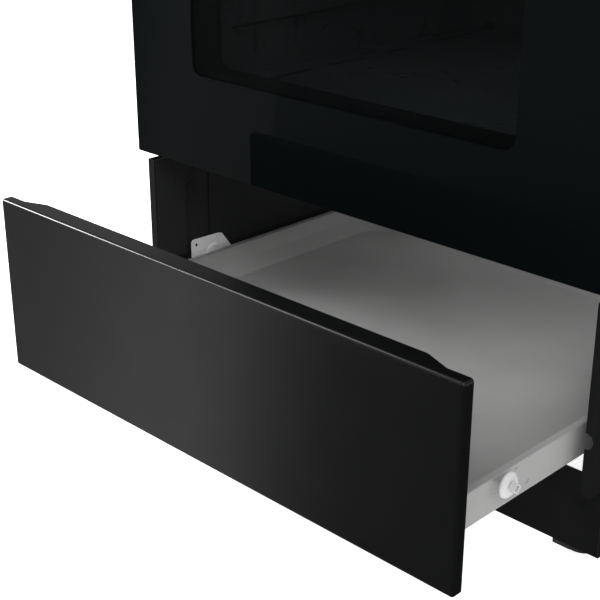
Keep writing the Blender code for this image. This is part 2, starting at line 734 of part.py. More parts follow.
def baking_tray():
    half = OVEN_HALF - 0.0105
    rim_low = SHELF_LEVELS[4] + SHELF_WIRE + GAP
    y0, y1 = FACE + 0.075, FACE + 0.465
    rim = prism(rounded_rectangle(-half, half, y0, y1, 0.02), "z", rim_low, rim_low + SHEET)
    lip, deep = 0.010, 0.025
    dish = rounded_rectangle(-half + lip, half - lip, y0 + lip, y1 - lip, 0.02)
    dish = prism(dish, "z", rim_low - deep, rim_low + SHEET / 2)
    space = rounded_rectangle(-half + lip + SHEET, half - lip - SHEET, y0 + lip + SHEET, y1 - lip - SHEET, 0.019)
    space = prism(space, "z", rim_low - deep + SHEET, rim_low + 0.01)
    return cut(joined(rim, dish), space)


def oven_lamp_cover():
    y1 = FACE + OVEN_REAR - GAP
    profile = [(0, y1), (0.026, y1), (0.026, y1 - 0.004), (0.021, y1 - 0.011), (0.010, y1 - 0.015), (0, y1 - 0.0155)]
    return turned(profile, "y", (0.150, 0, 0.672), 20)


# Controls


def control_panel():
    outline = rounded_rectangle(-FRONT_HALF, FRONT_HALF, PANEL_LOW, PANEL_TOP, 0.003, 2)
    panel = prism(outline, "y", FACE, FACE + MOUTH_DEPTH - 0.001)
    bevel_edges(panel, 0.0018, 2, lambda a, b: max(a.y, b.y) < FACE + 1e-6)
    inset = 0.0012
    hollow = [-FRONT_HALF + inset, FRONT_HALF - inset, PANEL_LOW + inset, PANEL_TOP - inset]
    pocket = prism(rounded_rectangle(*hollow, 0.0025, 2), "y", FACE + inset, FACE + 0.06)
    holes = [cylinder(0.0052, FACE - 0.01, FACE + 0.01, "y", (x, 0, KNOB_Z)) for x in KNOB_XS]
    holes.append(cylinder(BUTTON_RADIUS + 0.0004, FACE - 0.01, FACE + 0.01, "y", (BUTTON_X, 0, KNOB_Z)))
    return cut(panel, pocket, *holes)


def knob(x):
    rear, front = FACE - KNOB_PUSH, FACE - 0.026
    radius = KNOB_RADIUS
    profile = [(SPINDLE_RADIUS + GAP, rear), (radius, rear), (radius, rear - 0.004), (radius - 0.003, rear - 0.006)]
    profile += [(radius - 0.004, front + 0.001), (radius - 0.005, front), (0, front)]
    profile += [(0, FACE - 0.0205), (SPINDLE_RADIUS + GAP, FACE - 0.0205), (SPINDLE_RADIUS + GAP, rear)]
    body = turned(profile, "y", (x, 0, KNOB_Z), 24)
    reach = radius - 0.006
    grip = box(x - 0.004, x + 0.004, front - 0.008, front + 0.002, KNOB_Z - reach, KNOB_Z + reach)
    bevel_edges(grip, 0.0015, 1, lambda a, b: max(a.y, b.y) < front - 0.008 + 1e-6)
    return joined(body, grip)


def tap_spindle(x):
    return cylinder(SPINDLE_RADIUS, FACE - 0.020, FACE + 0.024, "y", (x, 0, KNOB_Z), 12)


def light_button():
    profile = [(0, FACE - 0.0045), (BUTTON_RADIUS - 0.001, FACE - 0.0045), (BUTTON_RADIUS, FACE - 0.0035)]
    profile += [(BUTTON_RADIUS, FACE + 0.008), (0, FACE + 0.008)]
    return turned(profile, "y", (BUTTON_X, 0, KNOB_Z), 16)


def gas_manifold():
    """The pipe behind the panel with five taps, and the pipe that runs to the inlet at the back."""
    y = FACE + MANIFOLD_DEPTH
    pipe = cylinder(0.009, KNOB_XS[0] - 0.02, INLET_X + 0.004, "x", (0, y, KNOB_Z), 16)
    pieces = []
    for x in KNOB_XS:
        pieces.append(cylinder(0.012, FACE + 0.0115, y, "y", (x, 0, KNOB_Z), 16))
    pieces.append(cylinder(0.0075, y, FACE + 0.560, "y", (INLET_X, 0, KNOB_Z), 12))
    pieces.append(cylinder(0.014, FACE + 0.558, FACE + 0.572, "y", (INLET_X, 0, KNOB_Z), 6))
    pieces.append(cylinder(0.0105, FACE + 0.570, BACK - 0.001, "y", (INLET_X, 0, KNOB_Z), 16))
    bores = [cylinder(0.0043, FACE, FACE + 0.030, "y", (x, 0, KNOB_Z), 12) for x in KNOB_XS]
    bores.append(cylinder(0.0065, FACE + 0.575, BACK + 0.01, "y", (INLET_X, 0, KNOB_Z), 12))
    return cut(joined(pipe, *pieces), *bores)


# Hob


def hob_top():
    half = HOB_WIDTH / 2
    y0, y1 = FACE - 0.002, BACK
    top = prism(rounded_rectangle(-half, half, y0, y1, 0.006, 3), "z", HOB_LOW, WORKTOP)
    bevel_edges(top, 0.0025, 2, lambda a, b: min(a.z, b.z) > WORKTOP - 1e-6)
    wall = 0.0015
    under = [-half + wall, half - wall, y0 + wall, y1 - wall]
    under = prism(rounded_rectangle(*under, 0.005, 3), "z", HOB_LOW - 0.01, WORKTOP - wall)
    holes = []
    for x, depth, _ in BURNERS.values():
        holes.append(cylinder(0.0205, HOB_LOW, WORKTOP + 0.01, "z", (x, FACE + depth, 0), 16))
    vents = []
    for place in range(8):
        x = -0.140 + 0.040 * place
        vents.append(box(x - 0.014, x + 0.014, BACK - 0.026, BACK - 0.021, HOB_LOW, WORKTOP + 0.01))
    return cut(top, under, *holes, *vents)


def burner_head(x, y, radius):
    skirt = WORKTOP + GAP
    profile = [(0, WORKTOP - 0.030), (0.020, WORKTOP - 0.030), (0.020, skirt), (radius, skirt)]
    profile += [(radius, WORKTOP + 0.004), (radius - 0.003, WORKTOP + 0.007), (radius - 0.003, HEAD_TOP)]
    profile += [(0, HEAD_TOP)]
    return turned(profile, "z", (x, y, 0), 24)


def burner_cap(x, y, radius):
    low = HEAD_TOP + GAP
    profile = [(0, low), (radius - 0.002, low), (radius, low + 0.0015), (radius, CAP_TOP - 0.0025)]
    profile += [(radius - 0.0025, CAP_TOP - 0.0005), (0.6 * radius, CAP_TOP), (0, CAP_TOP)]
    return turned(profile, "z", (x, y, 0), 24)


def pan_support(x0, x1):
    """A cast frame over two burners, with four fingers towards each flame and feet on the hob."""
    y0, y1 = FACE + 0.045, FACE + 0.540
    bar = GRATE_BAR
    low, high = GRATE_TOP - 0.010, GRATE_TOP
    centre_x = (x0 + x1) / 2
    middle_y = FACE + 0.2925
    frame = box(x0, x1, y0, y1, low, high)
    spaces = [
        box(x0 + bar, x1 - bar, y0 + bar, middle_y - bar / 2, low - 0.01, high + 0.01),
        box(x0 + bar, x1 - bar, middle_y + bar / 2, y1 - bar, low - 0.01, high + 0.01),
    ]
    frame = cut(frame, *spaces)
    bars = []
    for depth, near, far in ((0.165, y0, middle_y), (0.420, middle_y, y1)):
        y = FACE + depth
        for start, end in ((x0 + bar / 2, centre_x - 0.028), (centre_x + 0.028, x1 - bar / 2)):
            bars.append(box(start, end, y - bar / 2 + 0.0005, y + bar / 2 - 0.0005, low + 0.001, high))
        for start, end in ((near + bar / 4, y - 0.028), (y + 0.028, far - bar / 4)):
            bars.append(box(centre_x - bar / 2, centre_x + bar / 2, start, end, low + 0.001, high))
    for x in (x0, x1 - bar):
        for y in (y0, middle_y - bar / 2, y1 - bar):
            bars.append(box(x + 0.0005, x + bar - 0.0005, y + 0.0005, y + bar - 0.0005, WORKTOP + GAP, low + 0.003))
    return joined(frame, *bars)


# The whole range


def build_body():
    both_sides("side_panel", side_panel, black_enamel())
    node("rear_panel", rear_panel(), zinc_steel())
    node("plinth", plinth(), black_enamel())
    node("base_frame", base_frame(), zinc_steel())
    for place, depth in FOOT_DEPTHS.items():
        for side, x in (("left", -FOOT_X), ("right", FOOT_X)):
            spot = (x, FACE + depth, 0)
            node(f"foot_{place}_{side}", foot(x, FACE + depth), black_plastic(), spot)
    node("oven_front_frame", oven_front_frame(), oven_enamel())
    node("door_seal", door_seal(), rubber())
    both_sides("drawer_runner", drawer_runner, zinc_steel())
    support = (SUPPORT_INNER, SUPPORT_Y, SUPPORT_Z)
    both_sides("support_roller", support_roller, white_plastic(), support)
    both_sides("hinge_arm", hinge_arm, zinc_steel())


def build_drawer():
    slide = joint_axis("drawer_slide", (0, DRAWER_FACE, DRAWER_LOW))
    node("drawer_front", drawer_front(), drawer_paint(), parent=slide)
    node("drawer_tray", drawer_tray(), grey_steel(), parent=slide)
    axle = (ROLLER_INNER, ROLLER_Y, ROLLER_Z)
    both_sides("drawer_roller", drawer_roller, white_plastic(), axle, slide)
    both_sides("roller_pin", roller_pin, white_plastic(), parent=slide)


def build_door():
    hinge = joint_axis("door_hinge", (0, FACE + HINGE_DEPTH, HINGE_Z))
    node("door_outer_glass", door_outer_glass(), black_glass(), parent=hinge)
    node("door_frame", door_frame(), black_enamel(), parent=hinge)
    node("door_inner_panel", door_inner_panel(), oven_enamel(), parent=hinge)
    node("door_inner_glass", door_inner_glass(), clear_glass(), parent=hinge)
    node("door_handle", door_handle(), aluminium(), parent=hinge)


def build_oven():
    node("oven_liner", oven_liner(), oven_enamel())
    node("oven_floor_plate", oven_floor_plate(), oven_enamel())
    node("oven_burner", oven_burner(), aluminium())
    both_sides("shelf_support", shelf_support, chrome_wire())
    node("wire_rack", wire_rack(), chrome_wire())
    node("baking_tray", baking_tray(), oven_enamel())
    node("oven_lamp_cover", oven_lamp_cover(), clear_glass())


def build_controls():
    node("control_panel", control_panel(), black_enamel())
    node("gas_manifold", gas_manifold(), aluminium())
    for number, x in enumerate(KNOB_XS, start=1):
        spot = (x, FACE, KNOB_Z)
        spindle = node(f"tap_spindle_{number}", tap_spindle(x), brass(), spot)
        node(f"knob_{number}", knob(x), black_plastic(), spot, spindle)
    node("light_button", light_button(), black_plastic(), (BUTTON_X, FACE, KNOB_Z))


def build_hob():
    node("hob_top", hob_top(), black_enamel())
    for place, (x, depth, radius) in BURNERS.items():
        node(f"burner_head_{place}", burner_head(x, FACE + depth, radius), aluminium())
        node(f"burner_cap_{place}", burner_cap(x, FACE + depth, radius - 0.005), cast_iron())
    node("pan_support_left", pan_support(-0.290, -0.010), cast_iron())
    node("pan_support_right", pan_support(0.010, 0.290), cast_iron())


def main():
    clear_scene()
    build_body()
    build_drawer()
    build_door()
    build_oven()
    build_controls()
    build_hob()


main()
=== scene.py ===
"""The looks of the freestanding gas range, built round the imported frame."""

import math

import bmesh
import bpy
from mathutils import Matrix, Vector


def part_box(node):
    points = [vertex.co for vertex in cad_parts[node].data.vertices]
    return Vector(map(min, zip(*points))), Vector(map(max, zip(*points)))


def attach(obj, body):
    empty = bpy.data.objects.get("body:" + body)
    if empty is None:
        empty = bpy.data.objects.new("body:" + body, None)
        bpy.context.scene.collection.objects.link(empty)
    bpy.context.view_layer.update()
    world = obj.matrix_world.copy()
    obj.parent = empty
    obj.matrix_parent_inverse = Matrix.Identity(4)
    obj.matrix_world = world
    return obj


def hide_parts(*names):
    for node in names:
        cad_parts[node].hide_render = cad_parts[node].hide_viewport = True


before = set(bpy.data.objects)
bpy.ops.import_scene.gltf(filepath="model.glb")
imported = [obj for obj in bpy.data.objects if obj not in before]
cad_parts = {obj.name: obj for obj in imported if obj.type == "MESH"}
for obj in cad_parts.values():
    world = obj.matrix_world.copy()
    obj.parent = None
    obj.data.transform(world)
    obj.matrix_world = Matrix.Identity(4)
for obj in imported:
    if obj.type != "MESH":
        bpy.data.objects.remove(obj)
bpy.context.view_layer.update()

# The camera, from the middle of the drawer front's lower edge
CAMERA_FROM_DRAWER = Vector((0.7875, -0.6624, 0.5979))
CAMERA_AZIMUTH = math.radians(44.74)
CAMERA_ELEVATION = math.radians(23.0)
CAMERA_LENS = 76.49

SMOOTH_ANGLE = math.radians(38)

# What gloss sees: a soft panel to the front left, the room beside it and the sky above.
# A pair is where a step starts and ends, as a cosine to the direction it runs in.
PANEL_ACROSS = (-0.708, 0.700, 0.13)
PANEL_AHEAD = (-0.709, -0.705, 0.0)
PANEL_EDGE = (-0.015, -0.009)
PANEL_FALL = (0.055, 0.125)
PANEL_FRONT = (0.2, 0.4)
PANEL_BRIGHT = 1.2
PANEL_FADE = 0.22
BESIDE_STEP = (-0.38, -0.22)
BESIDE_LOW = 0.015
BESIDE_HIGH = 0.80
SKY_STEP = (-0.02, 0.12)
SKY_GLOSS = 0.31

# Lamps: name, place, what it points at, width and height, watts
ROOM_LAMPS = (
    ("left_box", (-1.7, -1.6, 1.9), (0, -0.2, 0.2), (0.9, 0.9), 14),
    ("low_box", (-1.9, -1.25, 0.95), (0, -0.12, 0.15), (0.8, 0.6), 40),
    ("key_box", (1.3, -1.8, 2.2), (0, -0.15, 0.15), (1.1, 1.1), 29),
)

# Lamps inside the range, with their depth taken from the face of the door's glass
INSIDE_LAMPS = (
    ("drawer_fill", (0.20, 0.22, 0.250), (-0.27, 0.22, 0.130), (0.30, 0.08), 0.25),
    ("tray_fill", (-0.08, 0.30, 0.272), (-0.08, 0.30, 0), (0.28, 0.20), 0.10),
    ("oven_lamp", (0, 0.26, 0.50), (0, 0.26, 0), (0.34, 0.34), 0.09),
)

# Folded front and pressed tray of the drawer, in metres
SHEET = 0.0012
BEND = 0.0027
FLANGE = 0.011
TOP_FLANGE = 0.0114
PULL_WIDE = 0.272
PULL_NARROW = 0.246
FRONT_CORNER = 0.003
TRAY_CORNER = 0.044
TRAY_FILLET = 0.018
TRAY_FLOOR = 0.0022
TRAY_FRONT = 0.025
HEM = 0.007
HEM_CORNER = 0.006
TRAY_INSIDE = 0.0235

# Slots in the tray's side, drawn as painted shade: behind the roller's axis, above it and half its length
TRAY_SLOTS = ((0.0408, -0.0178, 0.0023), (0.0230, 0.0021, 0.0011))
SLOT_HALF = 0.0009
SLOT_SLANT = math.radians(38)

# Inside of the side panels. Depths are from the face of the door's glass
WALL_SHEET = 0.0013
POST_WIDE = 0.0105
LINING_FRONT = 0.098
LINING_TOP = 0.272
WALL_DOTS = ((0.0744, 0.2480, 0.0030), (0.0560, 0.2580, 0.0022))
WALL_RING = (0.0714, 0.2313)
BEAD_DEPTHS = (0.0413, 0.0424)
BEAD_HEIGHTS = (0.0955, 0.2775)

# The lining's back edge, from the face of the door's frame, and its lower edge above the panel's
LINING_DEEP = 0.50
LINING_LIFT = 0.024

# The round pressing in a runner's ear, behind the ear's front edge and below its top
RUNNER_SHEET = 0.0012
DOME_RADIUS = 0.0104
DOME_HIGH = 0.0019
DOME_BACK = 0.0330
DOME_DROP = 0.0216

# Foot plates: how far out they start and end, and how far they reach below the plinth
FOOT_PLATE_REACH = (0.2470, 0.2665)
FOOT_PLATE_DROP = 0.0054

# Dials: the angle from one dot to the next, and the number of dots
DIAL_STEP = 34
DIAL_DOTS = 7

# The door's clear window, from the glass's lower edge
WINDOW_HALF = 0.2015
WINDOW_RISE = (0.0995, 0.3695)
WINDOW_RADIUS = 0.013


# Meshes


def linked(name, bm, flat=False):
    bmesh.ops.recalc_face_normals(bm, faces=bm.faces)
    mesh = bpy.data.meshes.new(name)
    bm.to_mesh(mesh)
    bm.free()
    if not flat:
        mesh.shade_smooth()
        mesh.set_sharp_from_angle(angle=SMOOTH_ANGLE)
    obj = bpy.data.objects.new(name, mesh)
    bpy.context.scene.collection.objects.link(obj)
    if not flat:
        weighted = obj.modifiers.new("weighted", "WEIGHTED_NORMAL")
        weighted.keep_sharp = True
    return obj


def add_shell(bm, rings, closed=False, caps=True):
    """Rings of points, each joined to the next. A closed shell joins the last to the first."""
    rows = [[bm.verts.new(point) for point in ring] for ring in rings]
    pairs = list(zip(rows, rows[1:]))
    if closed:
        pairs.append((rows[-1], rows[0]))
    for first, second in pairs:
        count = len(first)
        for i in range(count):
            j = (i + 1) % count
            bm.faces.new((first[i], first[j], second[j], second[i]))
    if caps and not closed:
        bm.faces.new(list(reversed(rows[0])))
        bm.faces.new(rows[-1])


def shell(name, rings, closed=False):
    bm = bmesh.new()
    add_shell(bm, rings, closed)
    return linked(name, bm)


def rounded(x0, x1, y0, y1, radius, steps=6):
    """A rectangle with round corners, anticlockwise from its right side."""
    radius = max(radius, 0.0002)
    centres = [(x1 - radius, y1 - radius, 0), (x0 + radius, y1 - radius, 90)]
    centres += [(x0 + radius, y0 + radius, 180), (x1 - radius, y0 + radius, 270)]
    points = []
    for x, y, start in centres:
        for step in range(steps + 1):
            angle = math.radians(start + 90 * step / steps)
            points.append((x + radius * math.cos(angle), y + radius * math.sin(angle)))
    return points


def arc(steps, start=0, end=90):
    """(cosine, sine) of angles from start to end, both included."""
    for step in range(steps + 1):
        angle = math.radians(start + (end - start) * step / steps)
        yield math.cos(angle), math.sin(angle)


def add_turned(bm, profile, axis, centre, sides=48, closed=False):
    """A profile of (radius, place along the axis) spun round a line through centre."""
    place = {
        "x": lambda r, a, c, s: (a, r * c, r * s),
        "y": lambda r, a, c, s: (r * s, a, r * c),
        "z": lambda r, a, c, s: (r * c, r * s, a),
    }[axis]
    rings = []
    for radius, along in profile:
        ring = []
        for side in range(sides):
            turn = 2 * math.pi * side / sides
            ring.append(Vector(centre) + Vector(place(radius, along, math.cos(turn), math.sin(turn))))
        rings.append(ring)
    add_shell(bm, rings, closed)


def turned(name, profile, axis, centre, sides=48, closed=False):
    bm = bmesh.new()
    add_turned(bm, profile, axis, centre, sides, closed)
    return linked(name, bm)


def add_block(bm, low, high, radius=0.0006, turn=None, about=None):
    """A box with small round edges, turned about a point if asked."""
    low, high = Vector(low), Vector(high)
    made = bmesh.ops.create_cube(bm, size=1.0)["verts"]
    for vert in made:
        vert.co = Vector((low[i] + (vert.co[i] + 0.5) * (high[i] - low[i]) for i in range(3)))
    edges = list({edge for vert in made for edge in vert.link_edges})
    result = bmesh.ops.bevel(bm, geom=edges, offset=radius, segments=2, affect="EDGES", profile=0.5)
    if turn:
        verts = {vert for face in result["faces"] for vert in face.verts}
        verts |= {vert for vert in made if vert.is_valid}
        bmesh.ops.rotate(bm, verts=list(verts), cent=about, matrix=turn)


def rides(obj, body, look, slot, *nodes):
    """Gives a finished piece its look and its body, and hides the nodes that it replaces."""
    obj.data.materials.clear()
    obj.data.materials.append(look)
    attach(obj, body)
    if nodes:
        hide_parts(*nodes)
    return obj


# Materials


def nodes_of(name):
    material = bpy.data.materials.new(name)
    material.use_nodes = True
    tree = material.node_tree
    return material, tree, tree.nodes["Principled BSDF"]


def add(tree, kind, **settings):
    """A node, its plain settings by name and its input values by label."""
    node = tree.nodes.new(kind)
    for key, value in settings.items():
        if hasattr(node, key):
            setattr(node, key, value)
        else:
            node.inputs[key.replace("_", " ")].default_value = value
    return node


def place_scaled(tree, stretch=(1, 1, 1)):
    coordinates = add(tree, "ShaderNodeTexCoord")
    mapping = add(tree, "ShaderNodeMapping")
    mapping.inputs["Scale"].default_value = stretch
    tree.links.new(coordinates.outputs["Object"], mapping.inputs["Vector"])
    return mapping.outputs["Vector"]


def noise(tree, vector, scale, detail=3.0, roughness=0.5):
    node = add(tree, "ShaderNodeTexNoise", Scale=scale, Detail=detail, Roughness=roughness)
    tree.links.new(vector, node.inputs["Vector"])
    return node.outputs["Fac"]


def spread(tree, value, low, high, low_in=0.3, high_in=0.7, kind="LINEAR"):
    """The value taken from one range to another and held at its ends."""
    node = add(tree, "ShaderNodeMapRange", interpolation_type=kind)
    for label, number in (("From Min", low_in), ("From Max", high_in), ("To Min", low), ("To Max", high)):
        node.inputs[label].default_value = number
    tree.links.new(value, node.inputs["Value"])
    return node.outputs["Result"]


def times(tree, first, second):
    node = add(tree, "ShaderNodeMath", operation="MULTIPLY")
    tree.links.new(first, node.inputs[0])
    tree.links.new(second, node.inputs[1])
    return node.outputs["Value"]


def between(tree, factor, first, second):
    """A colour between two colours. Each is a tuple or a socket."""
    node = add(tree, "ShaderNodeMix", data_type="RGBA")
    tree.links.new(factor, node.inputs["Factor"])
    for value, socket in ((first, node.inputs["A"]), (second, node.inputs["B"])):
        colour = [s for s in node.inputs if s.name == socket.name and s.type == "RGBA"][0]
        if isinstance(value, bpy.types.NodeSocket):
            tree.links.new(value, colour)
        else:
            colour.default_value = (*value, 1)
    return [s for s in node.outputs if s.type == "RGBA"][0]


def bumped(tree, shader, height, strength, distance):
    bump = add(tree, "ShaderNodeBump", Strength=strength, Distance=distance)
    tree.links.new(height, bump.inputs["Height"])
    tree.links.new(bump.outputs["Normal"], shader.inputs["Normal"])


def finish(name, dark, light, rough, scale=30, grain=900, grain_depth=0.00002, **surface):
    """A coated or moulded surface: soft colour drift, uneven gloss and a fine skin texture."""
    material, tree, shader = nodes_of(name)
    stretch = surface.pop("stretch", (1, 1, 1))
    strength = surface.pop("strength", 0.5)
    vector = place_scaled(tree, stretch)
    drift = noise(tree, vector, scale, 4)
    tree.links.new(between(tree, spread(tree, drift, 0, 1), dark, light), shader.inputs["Base Color"])
    tree.links.new(spread(tree, noise(tree, vector, scale * 2.3, 5), *rough), shader.inputs["Roughness"])
    bumped(tree, shader, noise(tree, vector, grain, 2), strength, grain_depth)
    for label, value in surface.items():
        shader.inputs[label.replace("_", " ")].default_value = value
    return material


def enamel_with_painted_inner_light(name, outside, inside, reach, front):
    """Black enamel, painted paler on the faces that look inwards: painted light standing in for light that
    those inner faces don't get.
    """
    material, tree, shader = nodes_of(name)
    vector = place_scaled(tree)
    coordinates = add(tree, "ShaderNodeTexCoord")
    split = add(tree, "ShaderNodeSeparateXYZ")
    tree.links.new(coordinates.outputs["Object"], split.inputs["Vector"])
    size = add(tree, "ShaderNodeMath", operation="ABSOLUTE")
    tree.links.new(split.outputs["X"], size.inputs[0])
    soft = 0.0002
    # 1 on the inward faces, where the paler painted light takes the place of the black
    inner = times(
        tree,
        spread(tree, size.outputs[0], 1, 0, reach - soft, reach + soft),
        spread(tree, split.outputs["Y"], 0, 1, front - soft, front + soft),
    )
    drift = noise(tree, vector, 25, 4)
    skin = between(tree, drift, outside, tuple(1.25 * c for c in outside))
    painted_inner_light = between(tree, drift, inside, tuple(1.25 * c for c in inside))
    tree.links.new(between(tree, inner, skin, painted_inner_light), shader.inputs["Base Color"])
    tree.links.new(spread(tree, noise(tree, vector, 60, 5), 0.34, 0.44), shader.inputs["Roughness"])
    bumped(tree, shader, noise(tree, vector, 700, 2), 0.5, 0.00003)
    shader.inputs["Specular IOR Level"].default_value = 0.12
    return material


def spangled(name, dark, light, rough, metal=0.35):
    """Galvanised sheet: crystals of slightly different greys."""
    material, tree, shader = nodes_of(name)
    vector = place_scaled(tree)
    cells = add(tree, "ShaderNodeTexVoronoi", Scale=140.0, Randomness=1.0)
    tree.links.new(vector, cells.inputs["Vector"])
    grey = add(tree, "ShaderNodeSeparateColor")
    tree.links.new(cells.outputs["Color"], grey.inputs["Color"])
    tree.links.new(between(tree, grey.outputs["Red"], dark, light), shader.inputs["Base Color"])
    tree.links.new(spread(tree, grey.outputs["Green"], *rough, 0, 1), shader.inputs["Roughness"])
    bumped(tree, shader, noise(tree, vector, 500, 3), 0.3, 0.00003)
    shader.inputs["Metallic"].default_value = metal
    return material


def rectangle_mask(tree, half_x, low_z, high_z, radius, soft):
    """1 inside a round-cornered rectangle in X and Z, 0 outside."""
    coordinates = add(tree, "ShaderNodeTexCoord")
    split = add(tree, "ShaderNodeSeparateXYZ")
    tree.links.new(coordinates.outputs["Object"], split.inputs["Vector"])
    reaches = []
    for axis, centre, half in (("X", 0.0, half_x), ("Z", (low_z + high_z) / 2, (high_z - low_z) / 2)):
        away = add(tree, "ShaderNodeMath", operation="SUBTRACT")
        away.inputs[1].default_value = centre
        tree.links.new(split.outputs[axis], away.inputs[0])
        size = add(tree, "ShaderNodeMath", operation="ABSOLUTE")
        tree.links.new(away.outputs[0], size.inputs[0])
        past = add(tree, "ShaderNodeMath", operation="SUBTRACT")
        past.inputs[1].default_value = half - radius
        tree.links.new(size.outputs[0], past.inputs[0])
        kept = add(tree, "ShaderNodeMath", operation="MAXIMUM")
        kept.inputs[1].default_value = 0.0
        tree.links.new(past.outputs[0], kept.inputs[0])
        reaches.append(kept.outputs[0])
    both = add(tree, "ShaderNodeCombineXYZ")
    tree.links.new(reaches[0], both.inputs["X"])
    tree.links.new(reaches[1], both.inputs["Y"])
    length = add(tree, "ShaderNodeVectorMath", operation="LENGTH")
    tree.links.new(both.outputs["Vector"], length.inputs[0])
    return spread(tree, length.outputs["Value"], 1, 0, radius - soft, radius + soft)


def clear_pane(name, tint, gloss_share):
    """Glass that shows what is behind it, with its own reflections."""
    material, tree, _ = nodes_of(name)
    clear_shader(tree, tint, gloss_share, tree.nodes["Material Output"].inputs["Surface"])
    return material


def clear_shader(tree, tint, gloss_share, out):
    """See-through glass whose gloss grows steeply towards its edges, on both of its faces."""
    through = add(tree, "ShaderNodeBsdfTransparent")
    through.inputs["Color"].default_value = (*tint, 1)
    gloss = add(tree, "ShaderNodeBsdfGlossy")
    gloss.inputs["Roughness"].default_value = 0.02
    gloss.inputs["Color"].default_value = (gloss_share, gloss_share, gloss_share, 1)
    facing = add(tree, "ShaderNodeLayerWeight", Blend=0.5)
    steep = add(tree, "ShaderNodeMath", operation="POWER")
    steep.inputs[1].default_value = 5.0
    tree.links.new(facing.outputs["Facing"], steep.inputs[0])
    mix = add(tree, "ShaderNodeMixShader")
    tree.links.new(spread(tree, steep.outputs["Value"], 0.04, 1.0, 0, 1), mix.inputs["Fac"])
    tree.links.new(through.outputs["BSDF"], mix.inputs[1])
    tree.links.new(gloss.outputs["BSDF"], mix.inputs[2])
    tree.links.new(mix.outputs["Shader"], out)


def printed_glass():
    """The door's outer pane: black print all round a clear window."""
    material, tree, shader = nodes_of("printed_glass")
    window_low, window_high = WINDOW
    mask = rectangle_mask(tree, WINDOW_HALF, window_low, window_high, WINDOW_RADIUS, 0.0002)
    vector = place_scaled(tree)
    shade = between(tree, noise(tree, vector, 8, 2), (0.0014, 0.0020, 0.0022), (0.0018, 0.0024, 0.0026))
    tree.links.new(shade, shader.inputs["Base Color"])
    tree.links.new(spread(tree, noise(tree, vector, 40, 3), 0.006, 0.012), shader.inputs["Roughness"])
    shader.inputs["Specular IOR Level"].default_value = 0.032
    mix = add(tree, "ShaderNodeMixShader")
    tree.links.new(mask, mix.inputs["Fac"])
    tree.links.new(shader.outputs["BSDF"], mix.inputs[1])
    clear_shader(tree, (0.80, 0.83, 0.84), 0.06, mix.inputs[2])
    tree.links.new(mix.outputs["Shader"], tree.nodes["Material Output"].inputs["Surface"])
    return material


# Sizes read from the frame. TRAY_HALF is from the middle to the outside of the tray's hem
drawer_low, drawer_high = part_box("drawer_front")
tray_low, tray_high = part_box("drawer_tray")
glass_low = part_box("door_outer_glass")[0]
frame_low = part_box("door_frame")[0]
panel_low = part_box("control_panel")[0]
hob_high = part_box("hob_top")[1]
RANGE_HALF = max(corner.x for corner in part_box("side_panel_right"))
POST_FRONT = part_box("side_panel_right")[0].y
TRAY_HALF = drawer_high.x - TRAY_INSIDE
WINDOW = [glass_low.z + rise for rise in WINDOW_RISE]

